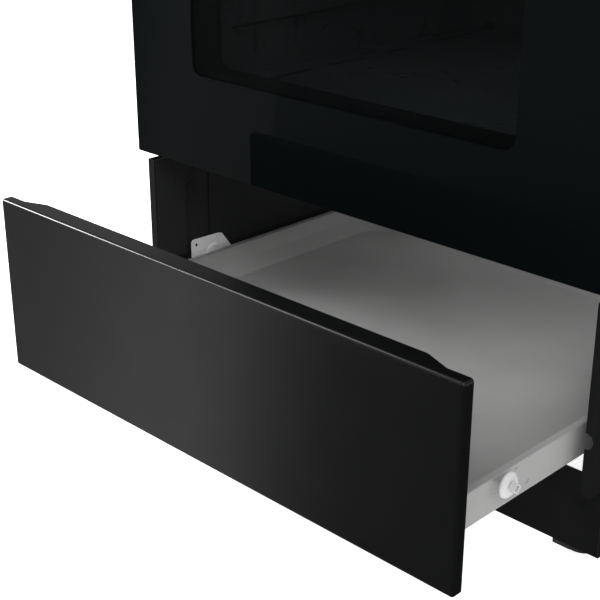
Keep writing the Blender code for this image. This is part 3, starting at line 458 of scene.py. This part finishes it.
LOOKS = {
    "black_enamel": finish("black_enamel", (0.0040, 0.0044, 0.0042), (0.0052, 0.0057, 0.0054), (0.30, 0.42),
                           25, 700, 0.00003, Specular_IOR_Level=0.12),
    # Side panels: black outside, with painted light on the faces that look inwards
    "side_enamel": enamel_with_painted_inner_light("side_enamel", (0.0046, 0.0050, 0.0048), (0.0175, 0.0185, 0.0180),
                                    RANGE_HALF - 0.0006, POST_FRONT + 0.0012),
    "hob_enamel": finish("hob_enamel", (0.006, 0.006, 0.006), (0.009, 0.009, 0.009), (0.12, 0.22),
                         18, 260, 0.00005, Specular_IOR_Level=0.45, Coat_Weight=0.3, Coat_Roughness=0.08),
    "door_enamel": finish("door_enamel", (0.0014, 0.0016, 0.0016), (0.0020, 0.0022, 0.0022), (0.36, 0.46),
                          25, 700, 0.00003, Specular_IOR_Level=0.06),
    "oven_enamel": finish("oven_enamel", (0.030, 0.031, 0.032), (0.038, 0.039, 0.040), (0.26, 0.34),
                          9, 1500, 0.00002),
    "cap_enamel": finish("cap_enamel", (0.008, 0.008, 0.008), (0.014, 0.014, 0.014), (0.35, 0.5),
                         60, 1100, 0.00005),
    "drawer_paint": finish("drawer_paint", (0.0027, 0.0029, 0.0028), (0.0031, 0.0033, 0.0032), (0.18, 0.21),
                           12, 1600, 0.00002, Specular_IOR_Level=0.46),
    "tray_paint": finish("tray_paint", (0.29, 0.289, 0.287), (0.33, 0.329, 0.326), (0.15, 0.19),
                         9, 1500, 0.00002, Metallic=0.1),
    # Grey of the tray's slot marks: painted shade
    "slot_painted_shade": finish("slot_painted_shade", (0.13, 0.13, 0.13), (0.16, 0.16, 0.16), (0.5, 0.6), 60, 1500),
    "zinc_steel": spangled("zinc_steel", (0.56, 0.56, 0.565), (0.64, 0.64, 0.645), (0.36, 0.46)),
    # Much paler than zinc_steel: painted light for the runners, which sit in the shade of the drawer space
    "runner_zinc_painted_light": spangled("runner_zinc_painted_light", (0.82, 0.82, 0.825), (0.88, 0.88, 0.885), (0.40, 0.50), 0.1),
    "foot_plastic": finish("foot_plastic", (0.010, 0.010, 0.010), (0.016, 0.016, 0.016), (0.45, 0.6),
                           60, 1200),
    "knob_plastic": finish("knob_plastic", (0.010, 0.010, 0.010), (0.014, 0.014, 0.014), (0.32, 0.42),
                           90, 1500, 0.00003),
    "white_plastic": finish("white_plastic", (0.46, 0.46, 0.465), (0.51, 0.51, 0.515), (0.32, 0.42),
                            80, 1500),
    "seal_rubber": finish("seal_rubber", (0.012, 0.012, 0.012), (0.020, 0.020, 0.020), (0.6, 0.8),
                          90, 2400, 0.0001),
    "handle_metal": finish("handle_metal", (0.010, 0.010, 0.010), (0.014, 0.014, 0.014), (0.28, 0.36),
                           40, 900, 0.00002, Specular_IOR_Level=0.5, Coat_Weight=0.25),
    "burner_alloy": finish("burner_alloy", (0.42, 0.42, 0.41), (0.55, 0.55, 0.54), (0.38, 0.55),
                           120, 1800, 0.00006, Metallic=1.0),
    "cast_iron": finish("cast_iron", (0.010, 0.010, 0.010), (0.020, 0.019, 0.018), (0.55, 0.75),
                        70, 1100, 0.00018, strength=0.8, Metallic=0.2),
    "support_wire": finish("support_wire", (0.07, 0.07, 0.07), (0.10, 0.10, 0.10), (0.34, 0.42),
                           60, 700, Metallic=1.0),
    "chrome_wire": finish("chrome_wire", (0.62, 0.62, 0.62), (0.70, 0.70, 0.70), (0.10, 0.20),
                          60, 700, Metallic=1.0),
    "tap_brass": finish("tap_brass", (0.50, 0.36, 0.14), (0.60, 0.44, 0.19), (0.22, 0.36),
                        120, 900, stretch=(1, 6, 1), Metallic=1.0),
    "print_white": finish("print_white", (0.55, 0.55, 0.55), (0.65, 0.65, 0.65), (0.5, 0.6), 200, 1500),
    "clear_glass": clear_pane("clear_glass", (0.90, 0.92, 0.92), 0.04),
    "door_glass": printed_glass(),
}


# CAD nodes that keep their shape


def soften(node, width, segments=2):
    """Small round edges on a carried-over node."""
    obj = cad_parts[node]
    weld = obj.modifiers.new("weld", "WELD")
    weld.merge_threshold = 0.00002
    bevel = obj.modifiers.new("edges", "BEVEL")
    bevel.width = width
    bevel.segments = segments
    bevel.limit_method = "ANGLE"
    bevel.angle_limit = math.radians(40)
    bevel.harden_normals = True


def keep(look, width, *nodes):
    for node in nodes:
        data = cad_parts[node].data
        data.materials.clear()
        data.materials.append(LOOKS[look])
        if width:
            soften(node, width)


def keep_cad_nodes():
    keep("side_enamel", 0.0003, "side_panel_left", "side_panel_right")
    keep("black_enamel", 0.0003, "plinth")
    keep("black_enamel", 0.0004, "control_panel")
    keep("door_enamel", 0.0004, "door_frame", "door_inner_panel")
    keep("hob_enamel", 0.0004, "hob_top")
    keep("zinc_steel", 0.0002, "rear_panel", "base_frame", "hinge_arm_left", "hinge_arm_right")
    keep("runner_zinc_painted_light", 0.0003, "drawer_runner_left", "drawer_runner_right")
    keep("oven_enamel", 0.0004, "oven_front_frame", "oven_liner", "oven_floor_plate", "baking_tray")
    keep("burner_alloy", 0.0003, "oven_burner", "gas_manifold")
    keep("cast_iron", 0.0012, "pan_support_left", "pan_support_right")
    keep("support_wire", None, "shelf_support_left", "shelf_support_right")
    keep("chrome_wire", None, "wire_rack")
    keep("tap_brass", None, *[f"tap_spindle_{number}" for number in range(1, 6)])
    keep("clear_glass", None, "door_inner_glass", "oven_lamp_cover")
    keep("door_glass", 0.0005, "door_outer_glass")


# Drawer


def pull_depth(x, z):
    """How far back the drawer front's edge reaches at a point of its outline."""
    if z < drawer_high.z - FRONT_CORNER:
        return FLANGE
    pull = drawer_high.y - drawer_low.y
    share = (PULL_WIDE - abs(x)) / (PULL_WIDE - PULL_NARROW)
    return TOP_FLANGE + (pull - TOP_FLANGE) * min(max(share, 0), 1)


def front_outline(inset):
    """The drawer front's outline, with extra points along its top for the pull's ramps."""
    x0, x1 = drawer_low.x + inset, drawer_high.x - inset
    z0, z1 = drawer_low.z + inset, drawer_high.z - inset
    steps = 5
    points = rounded(x0, x1, z0, z1, FRONT_CORNER - inset, steps)
    ramps = []
    for side in (1, -1):
        for step in range(steps + 1):
            share = step / steps
            x = PULL_WIDE + (PULL_NARROW - PULL_WIDE) * (share if side > 0 else 1 - share)
            ramps.append((side * x, z1))
    return points[:steps + 1] + ramps + points[steps + 1:]


def make_drawer_front():
    """The folded front: its face, the flanges round it and the bare inside of the sheet."""
    y = drawer_low.y
    rings = []
    for c, s in arc(5):
        rings.append([(x, y + BEND * (1 - c), z) for x, z in front_outline(BEND * (1 - s))])
    edge, fold = 0.0003, 0.001
    rings.append([(x, y + pull_depth(x, z) - edge, z) for x, z in front_outline(0)])
    rings.append([(x, y + pull_depth(x, z), z) for x, z in front_outline(edge)])
    rings.append([(x, y + pull_depth(x, z + SHEET), z) for x, z in front_outline(SHEET - edge)])
    rings.append([(x, y + pull_depth(x, z + SHEET) - edge, z) for x, z in front_outline(SHEET)])
    rings.append([(x, y + SHEET + fold, z) for x, z in front_outline(SHEET)])
    rings.append([(x, y + SHEET, z) for x, z in front_outline(SHEET + fold)])
    obj = shell("drawer_front_panel", rings)
    rides(obj, "drawer", LOOKS["drawer_paint"], "drawer_paint", "drawer_front")


def make_drawer_tray():
    """One skin, from under the floor to its top.

    It goes up behind the inner wall, down inside the hem, round the hem's curl, up the outside and
    over the rim.
    """
    y0, y1 = tray_low.y, tray_high.y
    z0, z1 = tray_low.z, tray_high.z
    floor = z0 + TRAY_FLOOR
    wall, lip, rim = 0.001, 0.004, 0.0016

    def outer(inset, z):
        half = TRAY_HALF - inset
        radius = max(HEM_CORNER - inset, 0.0005)
        return [(x, y, z) for x, y in rounded(-half, half, y0 + inset, y1 - inset, radius, 8)]

    def inner(inset, z):
        half = TRAY_HALF - HEM - inset
        front, back = drawer_low.y + TRAY_FRONT + inset, y1 - HEM - inset
        return [(x, y, z) for x, y in rounded(-half, half, front, back, TRAY_CORNER - inset, 8)]

    rings = [inner(TRAY_FILLET, floor - wall), inner(-wall, floor + TRAY_FILLET - 0.004)]
    rings += [inner(-wall, z1 - wall), outer(wall, z1 - wall - 0.0005), outer(wall, z0 + lip)]
    rings += [outer(lip, z0 + wall), outer(lip + 0.002, z0 + wall), outer(lip + 0.002, z0)]
    rings += [outer(lip * (1 - c), z0 + lip * (1 - s)) for s, c in arc(5)]
    rings += [outer(rim * (1 - c), z1 - rim + rim * s) for c, s in arc(4)]
    rings += [inner(-rim * c, z1 - rim + rim * s) for c, s in arc(4, 90, 0)]
    rings += [inner(TRAY_FILLET * (1 - c), floor + TRAY_FILLET * (1 - s)) for c, s in arc(7)]
    obj = shell("drawer_tray_pan", rings)
    rides(obj, "drawer", LOOKS["tray_paint"], "tray_paint", "drawer_tray")


def side_sign(side):
    return 1 if side == "right" else -1


def make_roller_boss(side):
    """The pressed boss on the tray's side that carries the roller, cut off level with the rim."""
    sign = side_sign(side)
    low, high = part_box(f"drawer_roller_{side}")
    centre = (low + high) / 2
    end = min(abs(low.x), abs(high.x)) - 0.0003
    wall = TRAY_HALF
    top = tray_high.z - 0.0015
    profile = [(0.0118, wall - 0.0004), (0.0112, wall + 0.0004), (0.0104, wall + 0.0016)]
    profile += [(0.0100, end - 0.0014), (0.0094, end - 0.0004), (0.0084, end), (0.0038, end)]
    sides = 48
    rings = []
    for radius, x in profile:
        ring = []
        for step in range(sides):
            turn = 2 * math.pi * step / sides
            y = centre.y + radius * math.cos(turn)
            ring.append((sign * x, y, min(centre.z + radius * math.sin(turn), top)))
        rings.append(ring)
    obj = shell(f"roller_boss_{side}", rings)
    rides(obj, "drawer", LOOKS["tray_paint"], "tray_paint")


def make_tray_slots(side):
    """Two small slot marks on the tray's side behind the roller: grey blocks barely proud of the side,
    painted shade for the slots' hollows.
    """
    sign = side_sign(side)
    across = sorted((sign * (TRAY_HALF - 0.0004), sign * (TRAY_HALF + 0.0002)))
    roller_low, roller_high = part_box(f"drawer_roller_{side}")
    centre = (roller_low + roller_high) / 2
    bm = bmesh.new()
    for behind, above, half in TRAY_SLOTS:
        middle = Vector((sign * TRAY_HALF, centre.y + behind, centre.z + above))
        low = (across[0], middle.y - half, middle.z - SLOT_HALF)
        high = (across[1], middle.y + half, middle.z + SLOT_HALF)
        add_block(bm, low, high, 0.00025, Matrix.Rotation(SLOT_SLANT, 3, "X"), middle)
    rides(linked(f"tray_slots_{side}", bm), "drawer", LOOKS["slot_painted_shade"], "tray_paint")


def make_drawer_roller(side):
    """A roller on a bore, with a stepped outer face."""
    sign = side_sign(side)
    low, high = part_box(f"drawer_roller_{side}")
    centre = (low + high) / 2
    inner, outer = sorted((abs(low.x), abs(high.x)))
    radius = (high.z - low.z) / 2
    bore = 0.0034
    profile = [(bore, inner), (radius - 0.0008, inner), (radius - 0.0002, inner + 0.0002)]
    profile += [(radius, inner + 0.0008), (radius, outer - 0.0026), (radius - 0.0002, outer - 0.0021)]
    profile += [(radius - 0.0022, outer - 0.0003), (radius - 0.0027, outer)]
    profile += [(bore + 0.0002, outer), (bore, outer - 0.0002)]
    profile = [(r, sign * along) for r, along in profile]
    obj = turned(f"tray_roller_{side}", profile, "x", (0, centre.y, centre.z), closed=True)
    rides(obj, f"drawer_roller_{side}", LOOKS["white_plastic"], "white_plastic", f"drawer_roller_{side}")


def make_roller_pin(side):
    """A round stem and a square hollow head."""
    sign = side_sign(side)
    low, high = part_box(f"roller_pin_{side}")
    centre = (low + high) / 2
    inner, outer = sorted((abs(low.x), abs(high.x)))
    neck = max(abs(v.x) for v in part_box(f"drawer_roller_{side}")) + 0.0003
    turn = math.radians(45)
    half = (high.z - low.z) / 2 / math.sqrt(2)
    hole = half - 0.0010
    bm = bmesh.new()

    def square(reach, radius, x):
        ring = []
        for y, z in rounded(-reach, reach, -reach, reach, radius, 3):
            ring.append((
                sign * x,
                centre.y + y * math.cos(turn) - z * math.sin(turn),
                centre.z + y * math.sin(turn) + z * math.cos(turn),
            ))
        return ring

    rings = [square(half - 0.0002, 0.0004, neck), square(half, 0.0005, neck + 0.0002)]
    rings += [square(half, 0.0005, outer - 0.0002), square(half - 0.0002, 0.0004, outer)]
    rings += [square(hole + 0.0001, 0.0003, outer), square(hole, 0.0003, outer - 0.0002)]
    rings.append(square(hole, 0.0003, neck + 0.0015))
    add_shell(bm, rings)
    add_turned(bm, [(0.003, sign * inner), (0.003, sign * (neck + 0.0005))], "x", (0, centre.y, centre.z), 24)
    obj = linked(f"snap_pin_{side}", bm)
    rides(obj, "drawer", LOOKS["white_plastic"], "white_plastic", f"roller_pin_{side}")


def make_support_roller(side):
    """A plain roller that the tray runs on, held by the range."""
    sign = side_sign(side)
    low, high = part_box(f"support_roller_{side}")
    centre = (low + high) / 2
    inner, outer = sorted((abs(low.x), abs(high.x)))
    radius = (high.z - low.z) / 2
    bore, edge = 0.0034, 0.0006
    profile = [(bore, inner), (radius - edge, inner), (radius, inner + edge), (radius, outer - edge)]
    profile += [(radius - edge, outer), (bore, outer)]
    profile = [(r, sign * along) for r, along in profile]
    obj = turned(f"body_roller_{side}", profile, "x", (0, centre.y, centre.z), closed=True)
    body = f"support_roller_{side}"
    rides(obj, body, LOOKS["white_plastic"], "white_plastic", body)


# Door, controls, hob and feet


def make_handle():
    """A round bar with domed ends on two posts."""
    low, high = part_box("door_handle")
    radius = (high.z - low.z) / 2
    centre_y, centre_z = low.y + radius, (low.z + high.z) / 2
    bm = bmesh.new()
    ends = [(radius * s, low.x + radius * 0.4 * (1 - c)) for c, s in arc(5, 4, 90)]
    profile = ends + [(r, -along) for r, along in reversed(ends)]
    add_turned(bm, profile, "x", (0, centre_y, centre_z), 40)
    post = [(0.0060, centre_y), (0.0060, high.y - 0.010), (0.0066, high.y - 0.005)]
    post += [(0.0085, high.y - 0.001), (0.0088, high.y)]
    for x in (low.x + 0.020, high.x - 0.020):
        add_turned(bm, post, "y", (x, 0, centre_z), 32)
    rides(linked("handle_bar", bm), "door", LOOKS["handle_metal"], "handle_metal", "door_handle")


def make_seal():
    """A hose laid in a rectangle round the oven's mouth."""
    low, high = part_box("door_seal")
    width, deep, sides = 0.010, high.y - low.y, 12
    rings = []
    for side in range(sides):
        turn = 2 * math.pi * side / sides
        inset = width / 2 - width / 2 * math.cos(turn)
        y = (low.y + high.y) / 2 + deep / 2 * math.sin(turn)
        corner = 0.014 - inset * 0.6
        points = rounded(low.x + inset, high.x - inset, low.z + inset, high.z - inset, corner, 6)
        rings.append([(x, y, z) for x, z in points])
    rides(shell("oven_seal", rings, closed=True), "range", LOOKS["seal_rubber"], "seal_rubber", "door_seal")


def make_knob(number):
    """A round skirt, a waisted body and a grip across it."""
    name = f"knob_{number}"
    low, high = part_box(name)
    x, z = (low.x + high.x) / 2, (low.z + high.z) / 2
    radius = (high.z - low.z) / 2
    rear, front = high.y, low.y
    grip_high, sunk = 0.008, 0.0006
    face = front + grip_high
    bm = bmesh.new()
    profile = [(0.0045, rear), (radius - 0.0006, rear), (radius, rear - 0.0006), (radius, rear - 0.0030)]
    profile += [(radius - 0.0008, rear - 0.0040), (radius - 0.0030, rear - 0.0052)]
    profile += [(radius - 0.0040, rear - 0.0075), (radius - 0.0048, face + 0.0030)]
    profile += [(radius - 0.0054, face + 0.0010), (radius - 0.0066, face), (0.002, face)]
    add_turned(bm, profile, "y", (x, 0, z), 56)
    # The grip: share of its height, half its width and how much shorter it is there
    grip = ((0, 0.0052, 0.0), (0.35, 0.0044, 0.0), (0.8, 0.0038, 0.0004), (0.95, 0.0034, 0.0008))
    grip += ((1, 0.0024, 0.0018),)
    rings = []
    reach = radius - 0.0065
    for share, wide, shorter in grip:
        y = face + sunk - (grip_high + sunk) * share
        points = rounded(x - wide, x + wide, z - reach + shorter, z + reach - shorter, wide * 0.9, 5)
        rings.append([(px, y, pz) for px, pz in points])
    add_shell(bm, rings)
    rides(linked(f"knob_body_{number}", bm), name, LOOKS["knob_plastic"], "knob_plastic", name)
    bm = bmesh.new()
    line_low = (x - 0.0007, front - 0.00002, z + 0.002)
    line_high = (x + 0.0007, front + 0.0006, z + reach - 0.0022)
    add_block(bm, line_low, line_high, 0.0001)
    rides(linked(f"knob_line_{number}", bm), name, LOOKS["print_white"], "knob_plastic")


def make_dial_marks(number):
    """Printed ticks round a knob: off at the top and a scale of growing dots."""
    low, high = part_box(f"knob_{number}")
    x, z = (low.x + high.x) / 2, (low.z + high.z) / 2
    face = panel_low.y
    ring = (high.z - low.z) / 2 + 0.005
    bm = bmesh.new()
    outside, inside = face - 0.00012, face + 0.0002
    add_block(bm, (x - 0.0006, outside, z + ring), (x + 0.0006, inside, z + ring + 0.004), 0.00004)
    for step in range(1, DIAL_DOTS + 1):
        turn = -math.radians(DIAL_STEP * step)
        size = 0.0005 + 0.00012 * step
        spot = (x - ring * math.sin(turn), 0, z + ring * math.cos(turn))
        add_turned(bm, [(size, inside), (size, outside)], "y", spot, 14)
    rides(linked(f"dial_print_{number}", bm), "range", LOOKS["print_white"], "black_enamel")


def make_button():
    """A round button with a shallow dish in its face."""
    low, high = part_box("light_button")
    radius = (high.z - low.z) / 2
    centre = ((low.x + high.x) / 2, 0, (low.z + high.z) / 2)
    profile = [(radius - 0.0004, high.y), (radius, high.y - 0.0004), (radius, low.y + 0.0012)]
    profile += [(radius - 0.0004, low.y + 0.0004), (radius - 0.0012, low.y), (radius - 0.003, low.y + 0.0004)]
    profile += [(0.001, low.y + 0.0008)]
    obj = turned("lamp_button", profile, "y", centre, 40)
    rides(obj, "light_button", LOOKS["knob_plastic"], "knob_plastic", "light_button")


def burner_middle(place):
    low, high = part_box(f"burner_head_{place}")
    return (low.x + high.x) / 2, (low.y + high.y) / 2


def make_burner_head(place):
    """An alloy head with flame slots, each two points wide and two points from the next."""
    low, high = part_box(f"burner_head_{place}")
    x, y = burner_middle(place)
    radius = (high.x - low.x) / 2
    base = hob_high.z
    top = high.z
    slots = max(int(radius * 900), 18)
    around = slots * 4
    rings = []
    # Radius, height and whether the slots cut in
    levels = [(0.018, low.z, 0), (0.0195, low.z + 0.001, 0), (0.0195, base, 0)]
    levels += [(radius - 0.001, base + 0.0003, 0), (radius, base + 0.0012, 0), (radius, base + 0.0045, 0)]
    levels += [(radius - 0.0025, base + 0.0068, 0), (radius - 0.0030, base + 0.0085, 1)]
    levels += [(radius - 0.0034, top - 0.0012, 1), (radius - 0.0036, top, 1), (radius - 0.0100, top, 1)]
    levels += [(radius - 0.0102, top, 0), (0.002, top, 0)]
    for level_radius, z, slotted in levels:
        ring = []
        for step in range(around):
            turn = 2 * math.pi * step / around
            cut_in = 0.0022 if slotted and step % 4 in (2, 3) else 0.0
            reach = level_radius - cut_in
            ring.append((x + reach * math.cos(turn), y + reach * math.sin(turn), z))
        rings.append(ring)
    head = shell(f"flame_ring_{place}", rings)
    rides(head, "range", LOOKS["burner_alloy"], "burner_alloy", f"burner_head_{place}")


def make_burner_cap(place):
    """A cap with a domed edge and a shallow step round its middle."""
    low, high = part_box(f"burner_cap_{place}")
    radius = (high.x - low.x) / 2
    profile = [(radius - 0.003, low.z), (radius - 0.0008, low.z), (radius, low.z + 0.0008)]
    profile += [(radius, high.z - 0.0034)]
    profile += [(radius - 0.0034 * (1 - c), high.z - 0.0034 + 0.0028 * s) for c, s in arc(5, 10, 88)]
    profile += [(radius * 0.6, high.z - 0.0002), (radius * 0.58, high.z - 0.0005), (0.001, high.z)]
    cap = turned(f"flame_cap_{place}", profile, "z", (*burner_middle(place), 0), 56)
    rides(cap, "range", LOOKS["cap_enamel"], "cap_enamel", f"burner_cap_{place}")


def make_burner_rim(place):
    """A low raised ring in the hob round the burner."""
    x, y = burner_middle(place)
    base = hob_high.z
    reach = (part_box(f"burner_head_{place}")[1].x - x) + 0.012
    well = [(reach - 0.008, base + 0.0001), (reach - 0.008, base + 0.0009), (reach - 0.005, base + 0.0013)]
    well += [(reach - 0.001, base + 0.0007), (reach, base + 0.0001)]
    rim = turned(f"burner_rim_{place}", well, "z", (x, y, 0), 64, closed=True)
    rides(rim, "range", LOOKS["hob_enamel"], "black_enamel")


def make_foot(name):
    """A round pad, a neck and a threaded stem."""
    low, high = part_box(name)
    x, y = (low.x + high.x) / 2, (low.y + high.y) / 2
    radius = (high.x - low.x) / 2
    neck = 0.0221
    profile = [(radius - 0.003, 0.0), (radius - 0.0008, 0.0006), (radius, 0.0020), (radius, 0.0056)]
    profile += [(radius - 0.0010, 0.0070), (0.0112, 0.0112), (0.0100, 0.0126), (0.0100, neck - 0.0005)]
    profile += [(0.0092, neck), (0.0052, neck)]
    thread = high.z - neck
    turns = 12
    for turn in range(turns):
        along = neck + thread * turn / turns
        profile += [(0.0050, along + thread / 48), (0.0044, along + thread / 18)]
    profile += [(0.0040, high.z)]
    obj = turned(f"pad_{name}", profile, "z", (x, y, 0), 40)
    rides(obj, "range", LOOKS["foot_plastic"], "foot_plastic", name)


def make_foot_plates():
    """The stamped plate beside each front foot, just under the plinth's edge."""
    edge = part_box("plinth")[0]
    for side in ("left", "right"):
        sign = side_sign(side)
        bm = bmesh.new()
        x0, x1 = sorted(sign * reach for reach in FOOT_PLATE_REACH)
        low = (x0, edge.y + 0.0012, edge.z - FOOT_PLATE_DROP)
        high = (x1, edge.y + 0.0200, edge.z - 0.0002)
        add_block(bm, low, high)
        rides(linked(f"foot_plate_{side}", bm), "range", LOOKS["foot_plastic"], "foot_plastic")


def make_rear_screws():
    """Pan-head screws along the edges of the rear panel."""
    low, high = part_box("rear_panel")
    profile = [(0.0036, high.y - 0.0003), (0.0036, high.y + 0.0008)]
    profile += [(0.0028, high.y + 0.0018), (0.0010, high.y + 0.0021)]
    bm = bmesh.new()
    for x in (low.x + 0.010, high.x - 0.010):
        for share in (0.05, 0.28, 0.51, 0.74, 0.95):
            z = low.z + share * (high.z - low.z)
            add_turned(bm, profile, "y", (x, 0, z), 18)
    rides(linked("rear_screws", bm), "range", LOOKS["chrome_wire"], "zinc_steel")


def make_wall_details(side):
    """What shows on the inside of a side panel: a lining sheet, pressings and a bead on the post."""
    sign = side_sign(side)
    low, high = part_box(f"side_panel_{side}")
    skin = max(abs(low.x), abs(high.x))
    inner = skin - WALL_SHEET
    front = glass_low.y
    bm = bmesh.new()
    x0, x1 = sorted((sign * (inner - 0.0012), sign * (inner - 0.0001)))
    lining_back = frame_low.y + LINING_DEEP
    add_block(bm, (x0, front + LINING_FRONT, low.z + LINING_LIFT), (x1, lining_back, LINING_TOP), 0.0004)
    for y, z, size in WALL_DOTS:
        profile = [(size, sign * (inner + 0.0002)), (size - 0.0006, sign * (inner - 0.0006))]
        profile += [(size * 0.5, sign * (inner - 0.0008))]
        add_turned(bm, profile, "x", (0, front + y, z), 20)
    y, z = WALL_RING
    ring = [(0.0068, sign * (inner + 0.0002)), (0.0064, sign * (inner - 0.0004))]
    ring += [(0.0058, sign * (inner - 0.0004)), (0.0054, sign * (inner + 0.0002))]
    add_turned(bm, ring, "x", (0, front + y, z), 32, closed=True)
    post = skin - POST_WIDE
    x0, x1 = sorted((sign * (post - 0.0005), sign * (post + 0.0004)))
    y0, y1 = BEAD_DEPTHS
    z0, z1 = BEAD_HEIGHTS
    add_block(bm, (x0, front + y0, z0), (x1, front + y1, z1), 0.0004)
    # These pieces take the side enamel, with its painted light on the inward faces
    rides(linked(f"wall_lining_{side}", bm), "range", LOOKS["side_enamel"], "black_enamel")


def make_runner_dome(side):
    """The round pressing in the front ear of a drawer runner."""
    sign = side_sign(side)
    low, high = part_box(f"drawer_runner_{side}")
    face = max(abs(low.x), abs(high.x)) - RUNNER_SHEET + 0.0003
    dome = [(DOME_RADIUS * c, sign * (face - DOME_HIGH * s)) for c, s in arc(7, 0, 86)]
    obj = turned(f"runner_dome_{side}", dome, "x", (0, low.y + DOME_BACK, high.z - DOME_DROP), 40)
    rides(obj, "range", LOOKS["runner_zinc_painted_light"], "zinc_steel")


# Stage


def ramp(tree, value, step, low, high):
    """A smooth step from low to high."""
    return spread(tree, value, low, high, *step, "SMOOTHSTEP")


def studio_world():
    """Plain white for the camera and the diffuse light. Gloss sees one soft panel to the front left."""
    world = bpy.data.worlds.new("studio")
    bpy.context.scene.world = world
    world.use_nodes = True
    tree = world.node_tree
    white = tree.nodes["Background"]
    white.inputs["Color"].default_value = (1, 1, 1, 1)
    white.inputs["Strength"].default_value = 1.0
    way = add(tree, "ShaderNodeTexCoord")
    split = add(tree, "ShaderNodeSeparateXYZ")
    tree.links.new(way.outputs["Generated"], split.inputs["Vector"])
    across = add(tree, "ShaderNodeVectorMath", operation="DOT_PRODUCT")
    across.inputs[1].default_value = PANEL_ACROSS
    tree.links.new(way.outputs["Generated"], across.inputs[0])
    edge = ramp(tree, across.outputs["Value"], PANEL_EDGE, 0.0, 1.0)
    fade = ramp(tree, across.outputs["Value"], PANEL_FALL, PANEL_BRIGHT, PANEL_BRIGHT * PANEL_FADE)
    ahead = add(tree, "ShaderNodeVectorMath", operation="DOT_PRODUCT")
    ahead.inputs[1].default_value = PANEL_AHEAD
    tree.links.new(way.outputs["Generated"], ahead.inputs[0])
    front = ramp(tree, ahead.outputs["Value"], PANEL_FRONT, 0.0, 1.0)
    beside = ramp(tree, split.outputs["Z"], BESIDE_STEP, BESIDE_LOW, BESIDE_HIGH)
    share = times(tree, edge, front)
    low = add(tree, "ShaderNodeMix")
    tree.links.new(share, low.inputs["Factor"])
    tree.links.new(beside, low.inputs["A"])
    tree.links.new(fade, low.inputs["B"])
    height = ramp(tree, split.outputs["Z"], SKY_STEP, 0.0, 1.0)
    strength = add(tree, "ShaderNodeMix")
    strength.inputs["B"].default_value = SKY_GLOSS
    tree.links.new(height, strength.inputs["Factor"])
    tree.links.new(low.outputs["Result"], strength.inputs["A"])
    mirrored = add(tree, "ShaderNodeBackground")
    tree.links.new(strength.outputs["Result"], mirrored.inputs["Strength"])
    path = add(tree, "ShaderNodeLightPath")
    mix = add(tree, "ShaderNodeMixShader")
    tree.links.new(path.outputs["Is Glossy Ray"], mix.inputs["Fac"])
    tree.links.new(white.outputs["Background"], mix.inputs[1])
    tree.links.new(mirrored.outputs["Background"], mix.inputs[2])
    tree.links.new(mix.outputs["Shader"], tree.nodes["World Output"].inputs["Surface"])


def softbox(name, place, target, size, power):
    """A rectangular lamp that points at a target."""
    light = bpy.data.lights.new(name, "AREA")
    light.shape = "RECTANGLE"
    light.size, light.size_y = size
    light.energy = power
    obj = bpy.data.objects.new(name, light)
    obj.location = place
    way = Vector(target) - Vector(place)
    obj.rotation_euler = way.to_track_quat("-Z", "Y").to_euler()
    bpy.context.scene.collection.objects.link(obj)
    return obj


def make_floor():
    """A white floor that gloss doesn't see."""
    bm = bmesh.new()
    bmesh.ops.create_grid(bm, x_segments=1, y_segments=1, size=6.0)
    obj = linked("floor", bm, flat=True)
    obj.location.z = -0.0005
    material, tree, shader = nodes_of("floor_white")
    vector = place_scaled(tree)
    white = between(tree, noise(tree, vector, 3, 2), (0.93, 0.93, 0.93), (0.95, 0.95, 0.95))
    tree.links.new(white, shader.inputs["Base Color"])
    shader.inputs["Roughness"].default_value = 0.9
    shader.inputs["Specular IOR Level"].default_value = 0.0
    shader.inputs["Emission Color"].default_value = (1, 1, 1, 1)
    shader.inputs["Emission Strength"].default_value = 0.80
    obj.data.materials.append(material)
    obj.visible_glossy = False


def make_stage():
    studio_world()
    make_floor()
    for name, place, target, size, power in ROOM_LAMPS:
        softbox(name, place, target, size, power)
    face = Vector((0, glass_low.y, 0))
    for name, place, target, size, power in INSIDE_LAMPS:
        lamp = softbox(name, face + Vector(place), face + Vector(target), size, power)
        lamp.visible_camera = False
        lamp.visible_glossy = False


def make_camera():
    camera = bpy.data.cameras.new("camera")
    camera.lens = CAMERA_LENS
    camera.sensor_width = 36.0
    camera.clip_start = 0.02
    obj = bpy.data.objects.new("camera", camera)
    foot = Vector(((drawer_low.x + drawer_high.x) / 2, drawer_low.y, drawer_low.z))
    obj.location = foot + CAMERA_FROM_DRAWER
    obj.rotation_euler = (math.pi / 2 - CAMERA_ELEVATION, 0, CAMERA_AZIMUTH)
    bpy.context.scene.collection.objects.link(obj)
    bpy.context.scene.camera = obj


def main():
    bpy.context.scene.view_settings.view_transform = "Standard"
    keep_cad_nodes()
    make_drawer_front()
    make_drawer_tray()
    for side in ("left", "right"):
        make_roller_boss(side)
        make_tray_slots(side)
        make_drawer_roller(side)
        make_roller_pin(side)
        make_support_roller(side)
        make_wall_details(side)
        make_runner_dome(side)
    make_handle()
    make_seal()
    for number in range(1, 6):
        make_knob(number)
        make_dial_marks(number)
    make_button()
    for place in ("front_left", "rear_left", "front_right", "rear_right"):
        make_burner_head(place)
        make_burner_cap(place)
        make_burner_rim(place)
    for end in ("front", "rear"):
        for side in ("left", "right"):
            make_foot(f"foot_{end}_{side}")
    make_foot_plates()
    make_rear_screws()
    make_stage()
    make_camera()


main()
